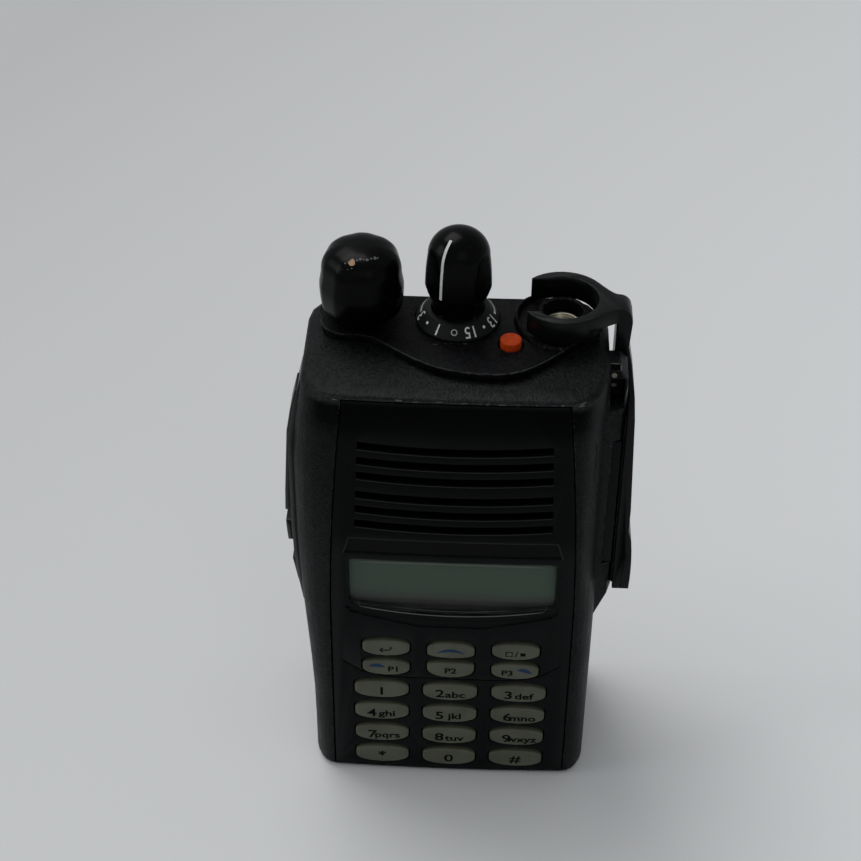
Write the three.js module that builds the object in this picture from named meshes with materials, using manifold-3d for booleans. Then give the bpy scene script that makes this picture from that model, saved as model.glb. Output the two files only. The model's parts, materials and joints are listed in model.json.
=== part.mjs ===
// Compact two way radio with a keypad, a display, two rotary controls and a rear battery.
// Millimetres. X runs to the viewer's right, the front faces -Y and Z is up.
import * as THREE from 'three';
import { mergeVertices } from 'three/addons/utils/BufferGeometryUtils.js';
import Module from 'manifold-3d';

const wasm = await Module();
wasm.setup();
const { smoothstep, lerp } = THREE.MathUtils;

// Facets: steps of rounded corners, flat curves and long flanks, and sides of round pieces
const facets = {
  corner: 3, edge: 4, curve: 6, arch: 8, flank: 11, tiny: 10, small: 12, middle: 16, round: 24,
  ring: 40,
};

// Fits shared by all pieces
const gap = 0.3;
const overrun = 4;

// Zones of the front face, whose heights stack up to the body's height
const tier = { keys: 44.5, display: 16.3, grille: 36.2, brow: 1.6 };
const displayFoot = tier.keys;
const grilleFoot = displayFoot + tier.display;
const panelTop = grilleFoot + tier.grille;

// Body, as one form that the housing, the panel and the battery are parted from
const body = {
  height: panelTop + tier.brow,
  depth: 33,
  half: 27.6,
  edgeRadius: 1.5,
  crown: 0.5,
  cornerDepth: 6.6,
  backRadius: 4,
  wall: 1.8,
};

// How far under the body's top these levels lie
const drop = {
  flankEnd: 16.6, seamTaper: 7.6, head: 10.3, slope: 19.6, battery: 10.7, chassis: 12, mainBoard: 13.8,
  platform: 1.3, strip: 1.6, talkKey: 5.1,
};
const leftFlank = {
  bulge: 2.3, start: 12, full: 64, end: body.height - drop.flankEnd, headNarrowing: 2,
};
const rightFlank = { taper: 0.3, start: 42, full: 60, headCornerDepth: 11 };
const seam = {
  half: 23.2, taper: 2.6, taperStart: 42, taperEnd: body.height - drop.seamTaper, taperPower: 1.8, gap: 0.3,
};
const head = {
  bottom: body.height - drop.head, back: 30.4, slopeStart: body.height - drop.slope, backRadius: 6.5,
  floor: 1.4, foreheadDrop: 0.6, foreheadDepth: 8, edgeShare: 0.45,
};
const rear = { split: 17.2 };

// Front panel with its grille, name band, window and key holes
const panel = { back: 1.9, bottom: 1.6, top: panelTop, ledge: 3.4, rim: 0.8 };
const nameBand = { height: 3.6, half: 20.4, slant: 1.1, depth: 0.3 };
const grille = {
  slots: 3, foot: 4.05, head: 9.9, groupShare: 1.31, height: 1.7, topHalf: 17.4, bottomHalf: 18.5, bow: 0.9,
};
const nameBandTop = grilleFoot + nameBand.height;
const lowestSlot = nameBandTop + grille.foot;
const highestSlot = panel.top - grille.head;
const slotPitch = (highestSlot - lowestSlot) / (2 * (grille.slots - 1) + grille.groupShare);
const slotGroups = [highestSlot, lowestSlot + (grille.slots - 1) * slotPitch];
const display = {
  rise: 3.1, drop: 1.9, half: 19.4, belly: 2.05, radius: 1.1, bulge: 0.5, brow: 0.4, flange: 0.9,
  flangeLip: 1, flangeInset: 0.8,
};
const displayBottom = displayFoot + display.rise;
const displayTop = grilleFoot - display.drop;
const displayRecess = { margin: 1.1, chin: 1.3, depth: 0.35 };
const keyArc = { rise: 0.65, climb: 4, power: 6, half: 21.2, width: 0.35, depth: 0.3, segments: 12 };

// Keypad
const keypad = { columnPitch: 13.6, lowestRow: 5.35, columns: 3, rows: 4, spacing: 0.97, proud: 0.55 };
const navKey = {
  width: 9.3, columnPitch: 12.66, drop: 8.1, rowPitch: 5.45, spacing: 0.5, footDrop: 6.34, domeShare: 0.66,
};
const upperNavRow = displayFoot - navKey.drop;
const lowerNavRow = upperNavRow - navKey.rowPitch;
const topNumberRow = lowerNavRow - navKey.footDrop;
const rowPitch = (topNumberRow - keypad.lowestRow) / (keypad.rows - 1);
const numberKey = { width: 10.8, height: rowPitch - keypad.spacing };
const navKeyHeight = navKey.rowPitch - navKey.spacing;
const keyFace = {
  power: 5, endShare: 0.35, crown: 0.35, shoulder: 0.5, segments: 14, flange: 0.6, ear: 0.8, earHeight: 2.4,
};
const keyMat = { front: 3.75, base: 5.3, back: 6.6, half: 21, bottom: 2.8, drop: 4.3, padShare: 0.7 };
const keyBoard = { front: 6.9, thickness: 0.8, half: 21.6, bottom: 2.6, rise: 1.6 };

// Behind the front
const lcd = { front: 3.3, back: 6.6, half: 20.4, under: 1.1, over: 0.2, frame: 1.5, glassStep: 0.4 };
const speaker = {
  radiusShare: 0.365, magnetShare: 0.62, clothThickness: 0.5, rim: 1.6, depth: 5.4, magnetDepth: 2.4,
};
const speakerRadius = tier.grille * speaker.radiusShare;
const speakerHeight = (highestSlot + lowestSlot) / 2;
const speakerCone = { domeShare: 0.32, edgeInset: 2, throat: 1.7, thickness: 0.5 };
const microphone = { x: -18.6, rise: 2.4, radius: 1.6, depth: 2.6 };
const mainBoard = { front: 9.9, thickness: 1, half: 22.6, bottom: 4, top: body.height - drop.mainBoard };
const chassis = {
  front: 11.6, plate: 14.4, rim: 1.5, bottom: 2.5, top: body.height - drop.chassis, half: 25.2, ribs: 5,
  rib: 1.2,
};
const seal = { width: 1.1, depth: 1 };
const rail = {
  x: 19, neck: 2.4, head: 4.4, headDepth: 0.8, reach: 2.2, length: 11, heightShares: [0.256, 0.66],
};
const chassisScrew = { headRadius: 1.9, head: 1.3, shank: 1.1, length: 5, x: 21.2, bottom: 9, drop: 6.6 };

// Controls on the head. The deck is the top face of the raised panel that carries them
const topPanel = { thickness: 1.1, inset: 0.4 };
const topPanelUnder = body.height + gap;
const deck = topPanelUnder + topPanel.thickness;
const frontEdge = {
  leftShares: [
    [-1, 0.8], [-0.973, 0.681], [-0.946, 0.589], [-0.842, 0.526], [-0.65, 0.515], [-0.527, 0.454],
    [-0.327, 0.319], [-0.085, 0.209],
  ],
  rightShares: [[0.228, 0.174], [0.433, 0.207], [0.606, 0.309], [0.748, 0.43], [0.886, 0.53], [1, 0.56]],
};
const volume = { x: -17.85, y: 22.3 };
const volumeKnob = {
  lift: 1.4, height: 14, neck: 6.5, flare: 7.35, flareRise: 1.5, radius: 7.7, bellyRise: 5.1, waist: 7.3,
  dome: 5.5, domePower: 2.6, flats: 7, flatShare: 0.925, around: 28,
};
const channel = { x: -0.4, y: 22.1 };
const channelKnob = {
  lift: 2.9, height: 16.2, neck: 4.7, skirtRise: 2, skirt: 5.1, radius: 6.05, rimRise: 4.3, flank: 5.9,
  flankRise: 8.1, waist: 5.6, dome: 5, domePower: 2, flats: 6, flatShare: 0.88, around: 24,
};
const knobTop = { stopShare: 0.9 };
const dial = { baseRadius: 7.6, topRadius: 5.75, height: 2.5, foot: 0.5, boreGap: 0.3, recess: 0.3 };
const shaft = { radius: 3, length: 8.5, flat: 1.9 };
const bushing = { radius: 3.6, height: 1.6 };
const pot = { half: 5.5, height: 6.6, chamfer: 1.2 };
const emergency = {
  x: 9.35, y: 14.45, radius: 2.05, proud: 1.2, travel: 0.8, flange: 0.7, stem: 1, switchHalf: 2.6,
  switchHeight: 2.4,
};

// Antenna socket
const antenna = {
  x: 18.65, y: 21.6, plateau: 8.4, plateauHeight: 0.4, bossRadius: 4.4, bossBore: 3.68, bossHeight: 2.7,
};
const bossTop = deck + antenna.bossHeight;
const socket = {
  radius: 3.4, bore: 2.95, recess: 1.1, depth: 11.5, flangeRadius: 4.6, flange: 1.2, insulator: 1.6,
  pin: 0.55, pinLength: 2,
};
const socketBottom = bossTop - socket.depth;

// Right side: accessory connector and its dust cover
const platform = {
  front: 6.6, outer: 30.6, valley: 26.4, bottom: 38, lowerEdge: 46, top: body.height - drop.platform,
  topRound: 1.4, shoulder: 3.6, lean: 4.6, leanStart: 16, leanMiddle: 6,
};
const hood = { inner: 27.4, outer: 30, front: 5, back: 13.4, drop: 6.7, roof: 1.3 };
const hoodBottom = platform.top - hood.drop;
const connector = {
  front: 8.6, back: 15.4, rise: 15, drop: 14.3, depth: 4.6, contacts: 6, pad: 1.5, padRaise: 0.3, step: 0.4,
};
const connectorSpan = [platform.bottom + connector.rise, platform.top - connector.drop];
const cover = {
  thickness: 2.2, front: 8.6, back: 17, bulge: 0.4, ringOuter: 8.1, ringInner: 6.15, ringHeight: 4.3,
  ringRise: 5.6, mouthFront: 4.6, mouthBack: 5.6, chamfer: 0.8, strapFront: 18.3, strapBack: 23.1,
  strapOuter: 31, strap: 2.7, sway: 0.15, web: 3, frontTangent: 55, backTangent: 37, webEnd: 28.6,
  topDrop: 3.3, tongueDrop: 6.3, shoulderDrop: 9.3, hookDrop: 18.3, lean: 1, leanDrop: 31,
};
const ringTop = deck + cover.ringRise;
const coverBottom = platform.lowerEdge;
const coverTop = platform.top - cover.topDrop;
const coverTongue = platform.top - cover.tongueDrop;
const coverShoulder = platform.top - cover.shoulderDrop;
const coverHook = platform.top - cover.hookDrop;
const pullTab = { height: 15, reach: 1.1, slit: 9, recess: 0.9, footShare: 0.3 };

// Left side: talk key and function keys
const sideStrip = {
  front: 5.6, back: 14.8, bottom: 42, top: body.height - drop.strip, proud: 0.85, sunk: 1.2, steps: 8,
  radius: 2.2, power: 4,
};
const sideKey = {
  front: 7, back: 13.4, proud: 0.35, swell: 0.85, travel: 0.8, chamfer: 0.7, steps: 6, flange: 0.7,
};
const keySwell = { start: 44, full: 62, end: 64, gone: 84 };
const talkKey = { bottom: 64.6, top: body.height - drop.talkKey };
const functionKeys = { lower: [46.6, 52.2], upper: [57, 61.9] };

// Battery
const battery = {
  front: 17.6, lid: 1.4, wall: 1.5, top: body.height - drop.battery, sideInset: 0.3, cellGap: 0.4,
  cellRadius: 2.4, grooveDepth: 0.25, ribs: 6, ribPitch: 2, ribHeight: 1, ribDrop: 27.9, ribHalf: 17,
};
const contact = {
  height: 13, half: 7, tall: 3.2, proud: 0.2, pads: 3, padHalf: 1.3, pitch: 4.6, blockDepth: 1.6,
};
const latch = {
  half: 8, bottom: 1.2, top: 2.5, front: 9.6, back: 17.25, travel: 1.8, grip: 0.8, gripLength: 4,
  startGap: 1, lip: 0.9,
};

// Materials
const paint = (color, roughness, metalness = 0) =>
  new THREE.MeshStandardMaterial({ color, roughness, metalness });
const moulded = paint('#161719', 0.55);
const smooth = paint('#121314', 0.35);
const rubber = paint('#1a1a1b', 0.8);
const keyPlastic = paint('#8f9282', 0.45);
const clearLens = paint('#5d6d64', 0.08);
const metal = paint('#b9ad8c', 0.3, 1);
const steel = paint('#9a9c9e', 0.35, 1);
const castMetal = paint('#8d8f90', 0.6, 1);
const circuit = paint('#1f4a33', 0.5);
const orange = paint('#e2572c', 0.5);
const insulating = paint('#d9d4c4', 0.5);
const cellWrap = paint('#3f5f74', 0.4);
const cloth = paint('#0d0d0e', 0.95);
const coneFilm = paint('#2c2b28', 0.6);

// Turns a geometry into a manifold solid with its faces pointing out
function solid(geometry) {
  const bare = geometry.index ? geometry.toNonIndexed() : geometry;
  const placed = new THREE.BufferGeometry();
  placed.setAttribute('position', bare.getAttribute('position').clone());
  const merged = mergeVertices(placed);
  const vertProperties = new Float32Array(merged.getAttribute('position').array);
  const triVerts = new Uint32Array(merged.index.array);
  let made = new wasm.Manifold(new wasm.Mesh({ numProp: 3, vertProperties, triVerts }));
  if (made.volume() < 0) {
    const flipped = triVerts.slice();
    for (let i = 0; i < flipped.length; i += 3) {
      [flipped[i], flipped[i + 1]] = [flipped[i + 1], flipped[i]];
    }
    made = new wasm.Manifold(new wasm.Mesh({ numProp: 3, vertProperties, triVerts: flipped }));
  }
  return made;
}

function geometryOf(made) {
  const mesh = made.getMesh();
  const geometry = new THREE.BufferGeometry();
  geometry.setAttribute('position', new THREE.BufferAttribute(new Float32Array(mesh.vertProperties), 3));
  geometry.setIndex(new THREE.BufferAttribute(new Uint32Array(mesh.triVerts), 1));
  geometry.computeVertexNormals();
  return geometry;
}

const union = (solids) => solids.reduce((whole, piece) => whole.add(piece));

function box([x0, x1], [y0, y1], [z0, z1]) {
  const geometry = new THREE.BoxGeometry(x1 - x0, y1 - y0, z1 - z0);
  return solid(geometry.translate((x0 + x1) / 2, (y0 + y1) / 2, (z0 + z1) / 2));
}

// A flat outline drawn in one view and extruded along the axis that view looks along
const views = {
  front: [[1, 0, 0], [0, 0, 1], [0, -1, 0]],
  side: [[0, 1, 0], [0, 0, 1], [1, 0, 0]],
  plan: [[1, 0, 0], [0, 1, 0], [0, 0, 1]],
};

function prism(view, outline, from, to, curveSegments = facets.corner) {
  const axes = views[view].map((axis) => new THREE.Vector3(...axis));
  const options = { depth: to - from, bevelEnabled: false, curveSegments };
  const geometry = new THREE.ExtrudeGeometry(outline, options);
  geometry.applyMatrix4(new THREE.Matrix4().makeBasis(...axes));
  const start = view === 'front' ? -to : from;
  geometry.translate(...axes[2].multiplyScalar(start).toArray());
  return solid(geometry);
}

function polygon(points) {
  return new THREE.Shape(points.map(([a, b]) => new THREE.Vector2(a, b)));
}

function roundedBox([a0, a1], [b0, b1], radius) {
  const shape = new THREE.Shape();
  shape.absarc(a1 - radius, b0 + radius, radius, -Math.PI / 2, 0);
  shape.absarc(a1 - radius, b1 - radius, radius, 0, Math.PI / 2);
  shape.absarc(a0 + radius, b1 - radius, radius, Math.PI / 2, Math.PI);
  shape.absarc(a0 + radius, b0 + radius, radius, Math.PI, Math.PI * 1.5);
  return shape;
}

// A turned piece: profile points are [radius, height], closed on the axis or on itself
function turned(profile, x, y, segments = facets.round) {
  const points = profile.map(([radius, height]) => new THREE.Vector2(radius, height));
  const geometry = new THREE.LatheGeometry(points, segments);
  geometry.rotateX(Math.PI / 2);
  return solid(geometry.translate(x, y, 0));
}

const disc = (radius, from, to, x, y, segments = facets.round) =>
  turned([[0, from], [radius, from], [radius, to], [0, to]], x, y, segments);

// Skins a stack of rings that all hold the same number of points
function loft(rings) {
  const count = rings[0].length;
  const positions = rings.flat().flatMap((point) => point.toArray());
  const index = [];
  const capCentre = (ring) => {
    const centre = new THREE.Vector3();
    ring.forEach((point) => centre.add(point));
    positions.push(...centre.divideScalar(count).toArray());
    return positions.length / 3 - 1;
  };
  for (let level = 0; level < rings.length - 1; level += 1) {
    for (let i = 0; i < count; i += 1) {
      const a = level * count + i;
      const b = level * count + (i + 1) % count;
      index.push(a, b, b + count, a, b + count, a + count);
    }
  }
  const last = (rings.length - 1) * count;
  const bottom = capCentre(rings[0]);
  const top = capCentre(rings[rings.length - 1]);
  for (let i = 0; i < count; i += 1) {
    const next = (i + 1) % count;
    index.push(bottom, next, i, top, last + i, last + next);
  }
  const geometry = new THREE.BufferGeometry();
  geometry.setAttribute('position', new THREE.Float32BufferAttribute(positions, 3));
  geometry.setIndex(index);
  return solid(geometry);
}

const steps = (count) => Array.from({ length: count + 1 }, (_, i) => i / count);
const range = (count) => Array.from({ length: count }, (_, i) => i);

const radio = new THREE.Group();

function add(name, made, material) {
  const mesh = new THREE.Mesh(geometryOf(made), material);
  mesh.name = name;
  radio.add(mesh);
}

// Outline of the whole body at a height, which the housing, the panel and the battery share
const leftHalf = (z) => body.half
  + leftFlank.bulge * smoothstep(z, leftFlank.start, leftFlank.full)
  - leftFlank.headNarrowing * smoothstep(z, leftFlank.end, body.height);
const rightHalf = (z) => body.half - rightFlank.taper * smoothstep(z, rightFlank.start, rightFlank.full);
const seamHalf = (z) => {
  const share = Math.max(0, (z - seam.taperStart) / (seam.taperEnd - seam.taperStart));
  return seam.half - seam.taper * share ** seam.taperPower;
};
const frontFaceAt = (x) => body.crown * (x / seam.half) ** 2;
const headShare = (z) => smoothstep(z, head.slopeStart, head.bottom);

function edgeInset(z) {
  const fromEnd = Math.min(z, body.height - z);
  const rise = Math.max(0, body.edgeRadius - fromEnd);
  return body.edgeRadius - Math.sqrt(body.edgeRadius ** 2 - rise ** 2);
}

function bodyRing(z, grow = 0) {
  const inset = edgeInset(z) - grow;
  const frontInset = z > body.height / 2 ? inset * head.edgeShare : inset;
  const left = leftHalf(z) - inset;
  const right = rightHalf(z) - inset;
  const edge = seamHalf(z);
  const back = lerp(body.depth, head.back, headShare(z)) - inset;
  const backRadius = lerp(body.backRadius, head.backRadius, headShare(z));
  const rightShare = smoothstep(z, rightFlank.start, rightFlank.full);
  const rightDepth = lerp(body.cornerDepth, rightFlank.headCornerDepth, rightShare);
  const points = [];
  const put = (x, y) => {
    const nearFront = z > body.height - body.edgeRadius ? Math.max(0, 1 - y / head.foreheadDepth) : 0;
    points.push(new THREE.Vector3(x, y, z - head.foreheadDrop * nearFront));
  };
  const frontCorner = frontInset + frontFaceAt(edge);
  for (const t of steps(facets.curve)) {
    const x = edge * (2 * t - 1);
    put(x, frontInset + frontFaceAt(x));
  }
  for (const t of steps(facets.curve).slice(1)) {
    const angle = t * Math.PI / 2;
    put(edge + (right - edge) * Math.sin(angle), frontCorner + rightDepth * (1 - Math.cos(angle)));
  }
  for (const t of steps(facets.edge)) {
    const angle = t * Math.PI / 2;
    put(right - backRadius * (1 - Math.cos(angle)), back - backRadius * (1 - Math.sin(angle)));
  }
  for (const t of steps(facets.edge)) {
    const angle = (1 - t) * Math.PI / 2;
    put(-left + backRadius * (1 - Math.cos(angle)), back - backRadius * (1 - Math.sin(angle)));
  }
  for (const t of steps(facets.curve).slice(0, -1)) {
    const angle = (1 - t) * Math.PI / 2;
    put(-edge - (left - edge) * Math.sin(angle), frontCorner + body.cornerDepth * (1 - Math.cos(angle)));
  }
  return points;
}

const roundingLevels = steps(facets.corner).map((t) => body.edgeRadius * (1 - Math.cos(t * Math.PI / 2)));
const straightLevels = steps(facets.flank).slice(1, -1)
  .map((t) => lerp(body.edgeRadius, body.height - body.edgeRadius, t));
const bodyLevels = [
  ...roundingLevels,
  ...straightLevels,
  ...roundingLevels.map((z) => body.height - z).reverse(),
];
const wholeBody = loft(bodyLevels.map((z) => bodyRing(z)));

// Front panel outline, between the two seams
function panelOutline(grow) {
  const heights = steps(facets.arch).map((t) => lerp(panel.bottom - grow, panel.top + grow, t));
  const right = heights.map((z) => [seamHalf(z) + grow, z]);
  const left = heights.map((z) => [-seamHalf(z) - grow, z]).reverse();
  return polygon([...right, ...left]);
}

// The space in front of a surface that lies at a depth behind the crowned front
function aheadOf(depth) {
  const reach = seam.half + gap;
  const crown = steps(facets.arch).map((t) => reach * (2 * t - 1)).map((x) => [x, frontFaceAt(x) + depth]);
  return prism('plan', polygon([...crown, [reach, -overrun], [-reach, -overrun]]), 0, body.height);
}

// A recess of even depth in the crowned front
const recess = (outline, depth) => prism('front', outline, -overrun, overrun).intersect(aheadOf(depth));

// The display's outline: straight top, round corners and a bellied lower edge
function displayOutline(grow, chin = 0) {
  const half = display.half + grow;
  const top = displayTop + Math.min(grow, display.brow);
  const bottom = displayBottom - grow - chin;
  const belly = display.belly + chin;
  const radius = display.radius + grow;
  const shape = new THREE.Shape();
  shape.moveTo(half, bottom + radius);
  shape.absarc(half - radius, top - radius, radius, 0, Math.PI / 2);
  shape.absarc(-half + radius, top - radius, radius, Math.PI / 2, Math.PI);
  shape.lineTo(-half, bottom + radius);
  const cornerLow = bottom - belly * radius / half;
  shape.quadraticCurveTo(-half, bottom, -half + radius, cornerLow);
  shape.quadraticCurveTo(0, bottom - 2 * belly, half - radius, cornerLow);
  shape.quadraticCurveTo(half, bottom, half, bottom + radius);
  return shape;
}

// A key's barrel outline: a superellipse that narrows towards its ends. Its upper and lower halves may
// differ in height
function keyOutline(key, grow) {
  const power = 2 / keyFace.power;
  return range(keyFace.segments).map((i) => {
    const angle = (i / keyFace.segments * 2 + 1 / 2) * Math.PI;
    const [c, s] = [Math.cos(angle), Math.sin(angle)];
    const across = Math.sign(c) * Math.abs(c) ** power;
    const up = Math.sign(s) * Math.abs(s) ** power;
    const reach = (s > 0 ? key.above : key.below) * (1 - keyFace.endShare * across * across);
    return [key.x + across * (key.width / 2 + grow), key.z + up * (reach + grow)];
  });
}

// Where each key stands
const numberNames = ['star', '0', 'hash', '7', '8', '9', '4', '5', '6', '1', '2', '3'];
const numberKeys = numberNames.map((name, i) => ({
  name: `key_${name}`,
  x: (i % keypad.columns - 1) * keypad.columnPitch,
  z: keypad.lowestRow + Math.floor(i / keypad.columns) * rowPitch,
  above: numberKey.height / 2,
  below: numberKey.height / 2,
  width: numberKey.width,
}));
const navColumns = ['left', 'middle', 'right'];
const navRows = [
  ['upper', upperNavRow, navKey.domeShare],
  ['lower', lowerNavRow, 1 - navKey.domeShare],
];
const navKeys = navRows.flatMap(([row, z, share]) => navColumns.map((column, i) => {
  const above = navKeyHeight * (column === 'middle' ? share : 1 / 2);
  return {
    name: `nav_${row}_${column}`,
    x: (i - 1) * navKey.columnPitch,
    z: z + navKeyHeight / 2 - above,
    above,
    below: navKeyHeight - above,
    width: navKey.width,
  };
}));
const keys = [...numberKeys, ...navKeys];

function keyCap(key) {
  const face = frontFaceAt(key.x);
  const levels = [
    [panel.back + gap, 0, 0],
    [face - keypad.proud + keyFace.crown, 0, 0],
    [face - keypad.proud, -keyFace.shoulder, 0],
  ];
  const rings = levels.map(([y, grow]) => keyOutline(key, grow).map(([x, z]) => new THREE.Vector3(x, y, z)));
  const cap = loft(rings);
  const ear = key.width / 2 + keyFace.ear;
  const middle = key.z + (key.above - key.below) / 2;
  const flange = box(
    [key.x - ear, key.x + ear],
    [panel.back + gap, panel.back + gap + keyFace.flange],
    [middle - keyFace.earHeight / 2, middle + keyFace.earHeight / 2],
  );
  return cap.add(flange);
}

// The groove that swings under the navigation keys
function arcOutline() {
  const low = topNumberRow + numberKey.height / 2 + keyArc.rise;
  const across = steps(keyArc.segments).map((t) => 2 * t - 1);
  const line = across.map((t) => [keyArc.half * t, low + keyArc.climb * Math.abs(t) ** keyArc.power]);
  return polygon([...line, ...line.map(([x, z]) => [x, z - keyArc.width]).reverse()]);
}

function makeFrontPanel() {
  let made = prism('front', panelOutline(0), -overrun, panel.back).subtract(aheadOf(0));
  for (const group of slotGroups) {
    for (const i of range(grille.slots)) {
      const z = group - i * slotPitch;
      const half = lerp(grille.bottomHalf, grille.topHalf, smoothstep(z, displayTop, panel.top));
      const across = steps(facets.curve).map((t) => 2 * t - 1);
      const arc = across.map((t) => [half * t, z - grille.bow * (1 - t * t)]);
      const upper = arc.map(([x, y]) => [x, y + grille.height / 2]).reverse();
      const lower = arc.map(([x, y]) => [x, y - grille.height / 2]);
      const slot = polygon([...lower, ...upper]);
      made = made.subtract(prism('front', slot, -overrun, panel.back + overrun));
    }
  }
  const band = polygon([
    [-nameBand.half, grilleFoot],
    [nameBand.half, grilleFoot],
    [nameBand.half - nameBand.slant, nameBandTop],
    [-nameBand.half + nameBand.slant, nameBandTop],
  ]);
  made = made.subtract(recess(band, nameBand.depth));
  made = made.subtract(recess(displayOutline(displayRecess.margin, displayRecess.chin), displayRecess.depth));
  made = made.subtract(recess(arcOutline(), keyArc.depth));
  made = made.subtract(prism('front', displayOutline(gap), -overrun, panel.back + overrun));
  for (const key of keys) {
    const hole = polygon(keyOutline(key, gap));
    made = made.subtract(prism('front', hole, -overrun, panel.back + overrun));
  }
  return made;
}

function makeLens() {
  const centre = (displayTop + displayBottom - display.belly) / 2;
  const seat = displayRecess.depth;
  const behind = panel.back + gap;
  const rim = prism('front', displayOutline(0), seat, behind, facets.edge);
  const raised = prism('front', displayOutline(-display.bulge), seat - display.bulge, seat, facets.edge);
  const reach = display.half + display.flangeLip;
  const tall = (displayTop - displayBottom) / 2 - display.flangeInset;
  const flange = box([-reach, reach], [behind, behind + display.flange], [centre - tall, centre + tall]);
  return union([rim, raised, flange]);
}

// Platform on the right flank that carries the accessory connector. Its front leans back at the top
function makePlatform() {
  const inner = body.half - body.cornerDepth;
  const plan = polygon([
    [inner, rear.split],
    [inner, platform.front],
    [platform.valley, platform.front],
    [platform.valley + platform.topRound, platform.front + platform.topRound],
    [platform.outer - platform.topRound / 2, platform.front + platform.shoulder - platform.topRound],
    [platform.outer, platform.front + platform.shoulder],
    [platform.outer, rear.split],
  ]);
  const elevation = polygon([
    [inner, platform.bottom],
    [body.half, platform.bottom + platform.topRound],
    [platform.outer, platform.lowerEdge],
    [platform.outer, platform.top - platform.topRound],
    [platform.outer - platform.topRound, platform.top],
    [inner, platform.top],
  ]);
  const side = polygon([
    [platform.front, platform.bottom],
    [rear.split, platform.bottom],
    [rear.split, platform.top],
    [platform.front + platform.lean, platform.top],
    [platform.front + platform.topRound, platform.top - platform.leanMiddle],
    [platform.front, platform.top - platform.leanStart],
  ]);
  return prism('plan', plan, platform.bottom, platform.top)
    .intersect(prism('front', elevation, 0, rear.split + overrun))
    .intersect(prism('side', side, 0, platform.outer + overrun));
}

// Where the top panel's control stations and sockets pierce the head
const stations = [
  { ...volume, radius: bushing.radius + gap },
  { ...channel, radius: bushing.radius + gap },
  { x: emergency.x, y: emergency.y, radius: emergency.radius + emergency.flange + gap },
  { x: antenna.x, y: antenna.y, radius: antenna.bossBore + gap },
];
const bay = {
  half: body.half - panel.ledge,
  front: chassis.front,
  back: head.back - body.wall,
  floor: head.bottom + head.floor,
  ceiling: body.height - body.wall,
};
const throat = { back: rear.split - body.wall };

// Farther out than anything on either flank
const sideReach = body.half + leftFlank.bulge + 2 * overrun;

// The side strip follows the left flank: its outer face at a height
const stripFace = (z) => {
  const middle = (sideStrip.top + sideStrip.bottom) / 2;
  const share = (z - middle) / (sideStrip.top - middle);
  return leftHalf(z) + sideStrip.proud * (1 - Math.abs(share) ** sideStrip.power);
};

// The side keys swell towards the talk key's lower end
const swellShare = (z) => smoothstep(z, keySwell.start, keySwell.full)
  * (1 - smoothstep(z, keySwell.end, keySwell.gone));

function flankLoft(bottom, top, front, back, outerAt, innerAt, count, radius) {
  const rings = steps(count).map((t) => {
    const z = lerp(bottom, top, t);
    const outer = -outerAt(z);
    const inner = -innerAt(z);
    return [
      new THREE.Vector3(inner, front, z),
      new THREE.Vector3(inner, back, z),
      new THREE.Vector3(outer + radius, back, z),
      new THREE.Vector3(outer, back - radius, z),
      new THREE.Vector3(outer, front + radius, z),
      new THREE.Vector3(outer + radius, front, z),
    ];
  });
  return loft(rings);
}

const sideKeys = [
  { name: 'talk_button', bottom: talkKey.bottom, top: talkKey.top },
  { name: 'side_button_upper', bottom: functionKeys.upper[0], top: functionKeys.upper[1] },
  { name: 'side_button_lower', bottom: functionKeys.lower[0], top: functionKeys.lower[1] },
];

// The strip's outline seen from the side, with round ends
const stripOutline = (grow) => roundedBox(
  [sideStrip.front - grow, sideStrip.back + grow],
  [sideStrip.bottom - grow, sideStrip.top + grow],
  sideStrip.radius + grow,
);

function makeSideStrip() {
  const inner = (z) => leftHalf(z) - sideStrip.sunk;
  const blank = flankLoft(
    sideStrip.bottom, sideStrip.top, sideStrip.front, sideStrip.back,
    stripFace, inner, sideStrip.steps, sideKey.chamfer,
  );
  let made = blank.intersect(prism('side', stripOutline(0), -sideReach, 0));
  for (const key of sideKeys) {
    const hole = roundedBox(
      [sideKey.front - gap, sideKey.back + gap],
      [key.bottom - gap, key.top + gap],
      sideStrip.radius / 2,
    );
    made = made.subtract(prism('side', hole, -sideReach, 0));
  }
  return made;
}

// A side key: its cap follows the strip, and a flange behind the strip keeps it in
function makeSideKey(key) {
  const rest = (z) => leftHalf(z) - sideStrip.sunk;
  const outer = (z) => stripFace(z) + sideKey.proud + sideKey.swell * swellShare(z);
  const inner = (z) => rest(z) - sideKey.flange - gap;
  const cap = flankLoft(
    key.bottom, key.top, sideKey.front, sideKey.back,
    outer, inner, sideKey.steps, sideKey.chamfer,
  );
  const outline = roundedBox([sideKey.front, sideKey.back], [key.bottom, key.top], sideStrip.radius / 2);
  const trimmed = cap.intersect(prism('side', outline, -sideReach, 0));
  const lip = sideKey.flange;
  const flange = flankLoft(
    key.bottom - lip, key.top + lip, sideKey.front - lip, sideKey.back + lip,
    (z) => rest(z) - gap, inner, sideKey.steps, lip / 2,
  );
  return trimmed.add(flange);
}

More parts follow.
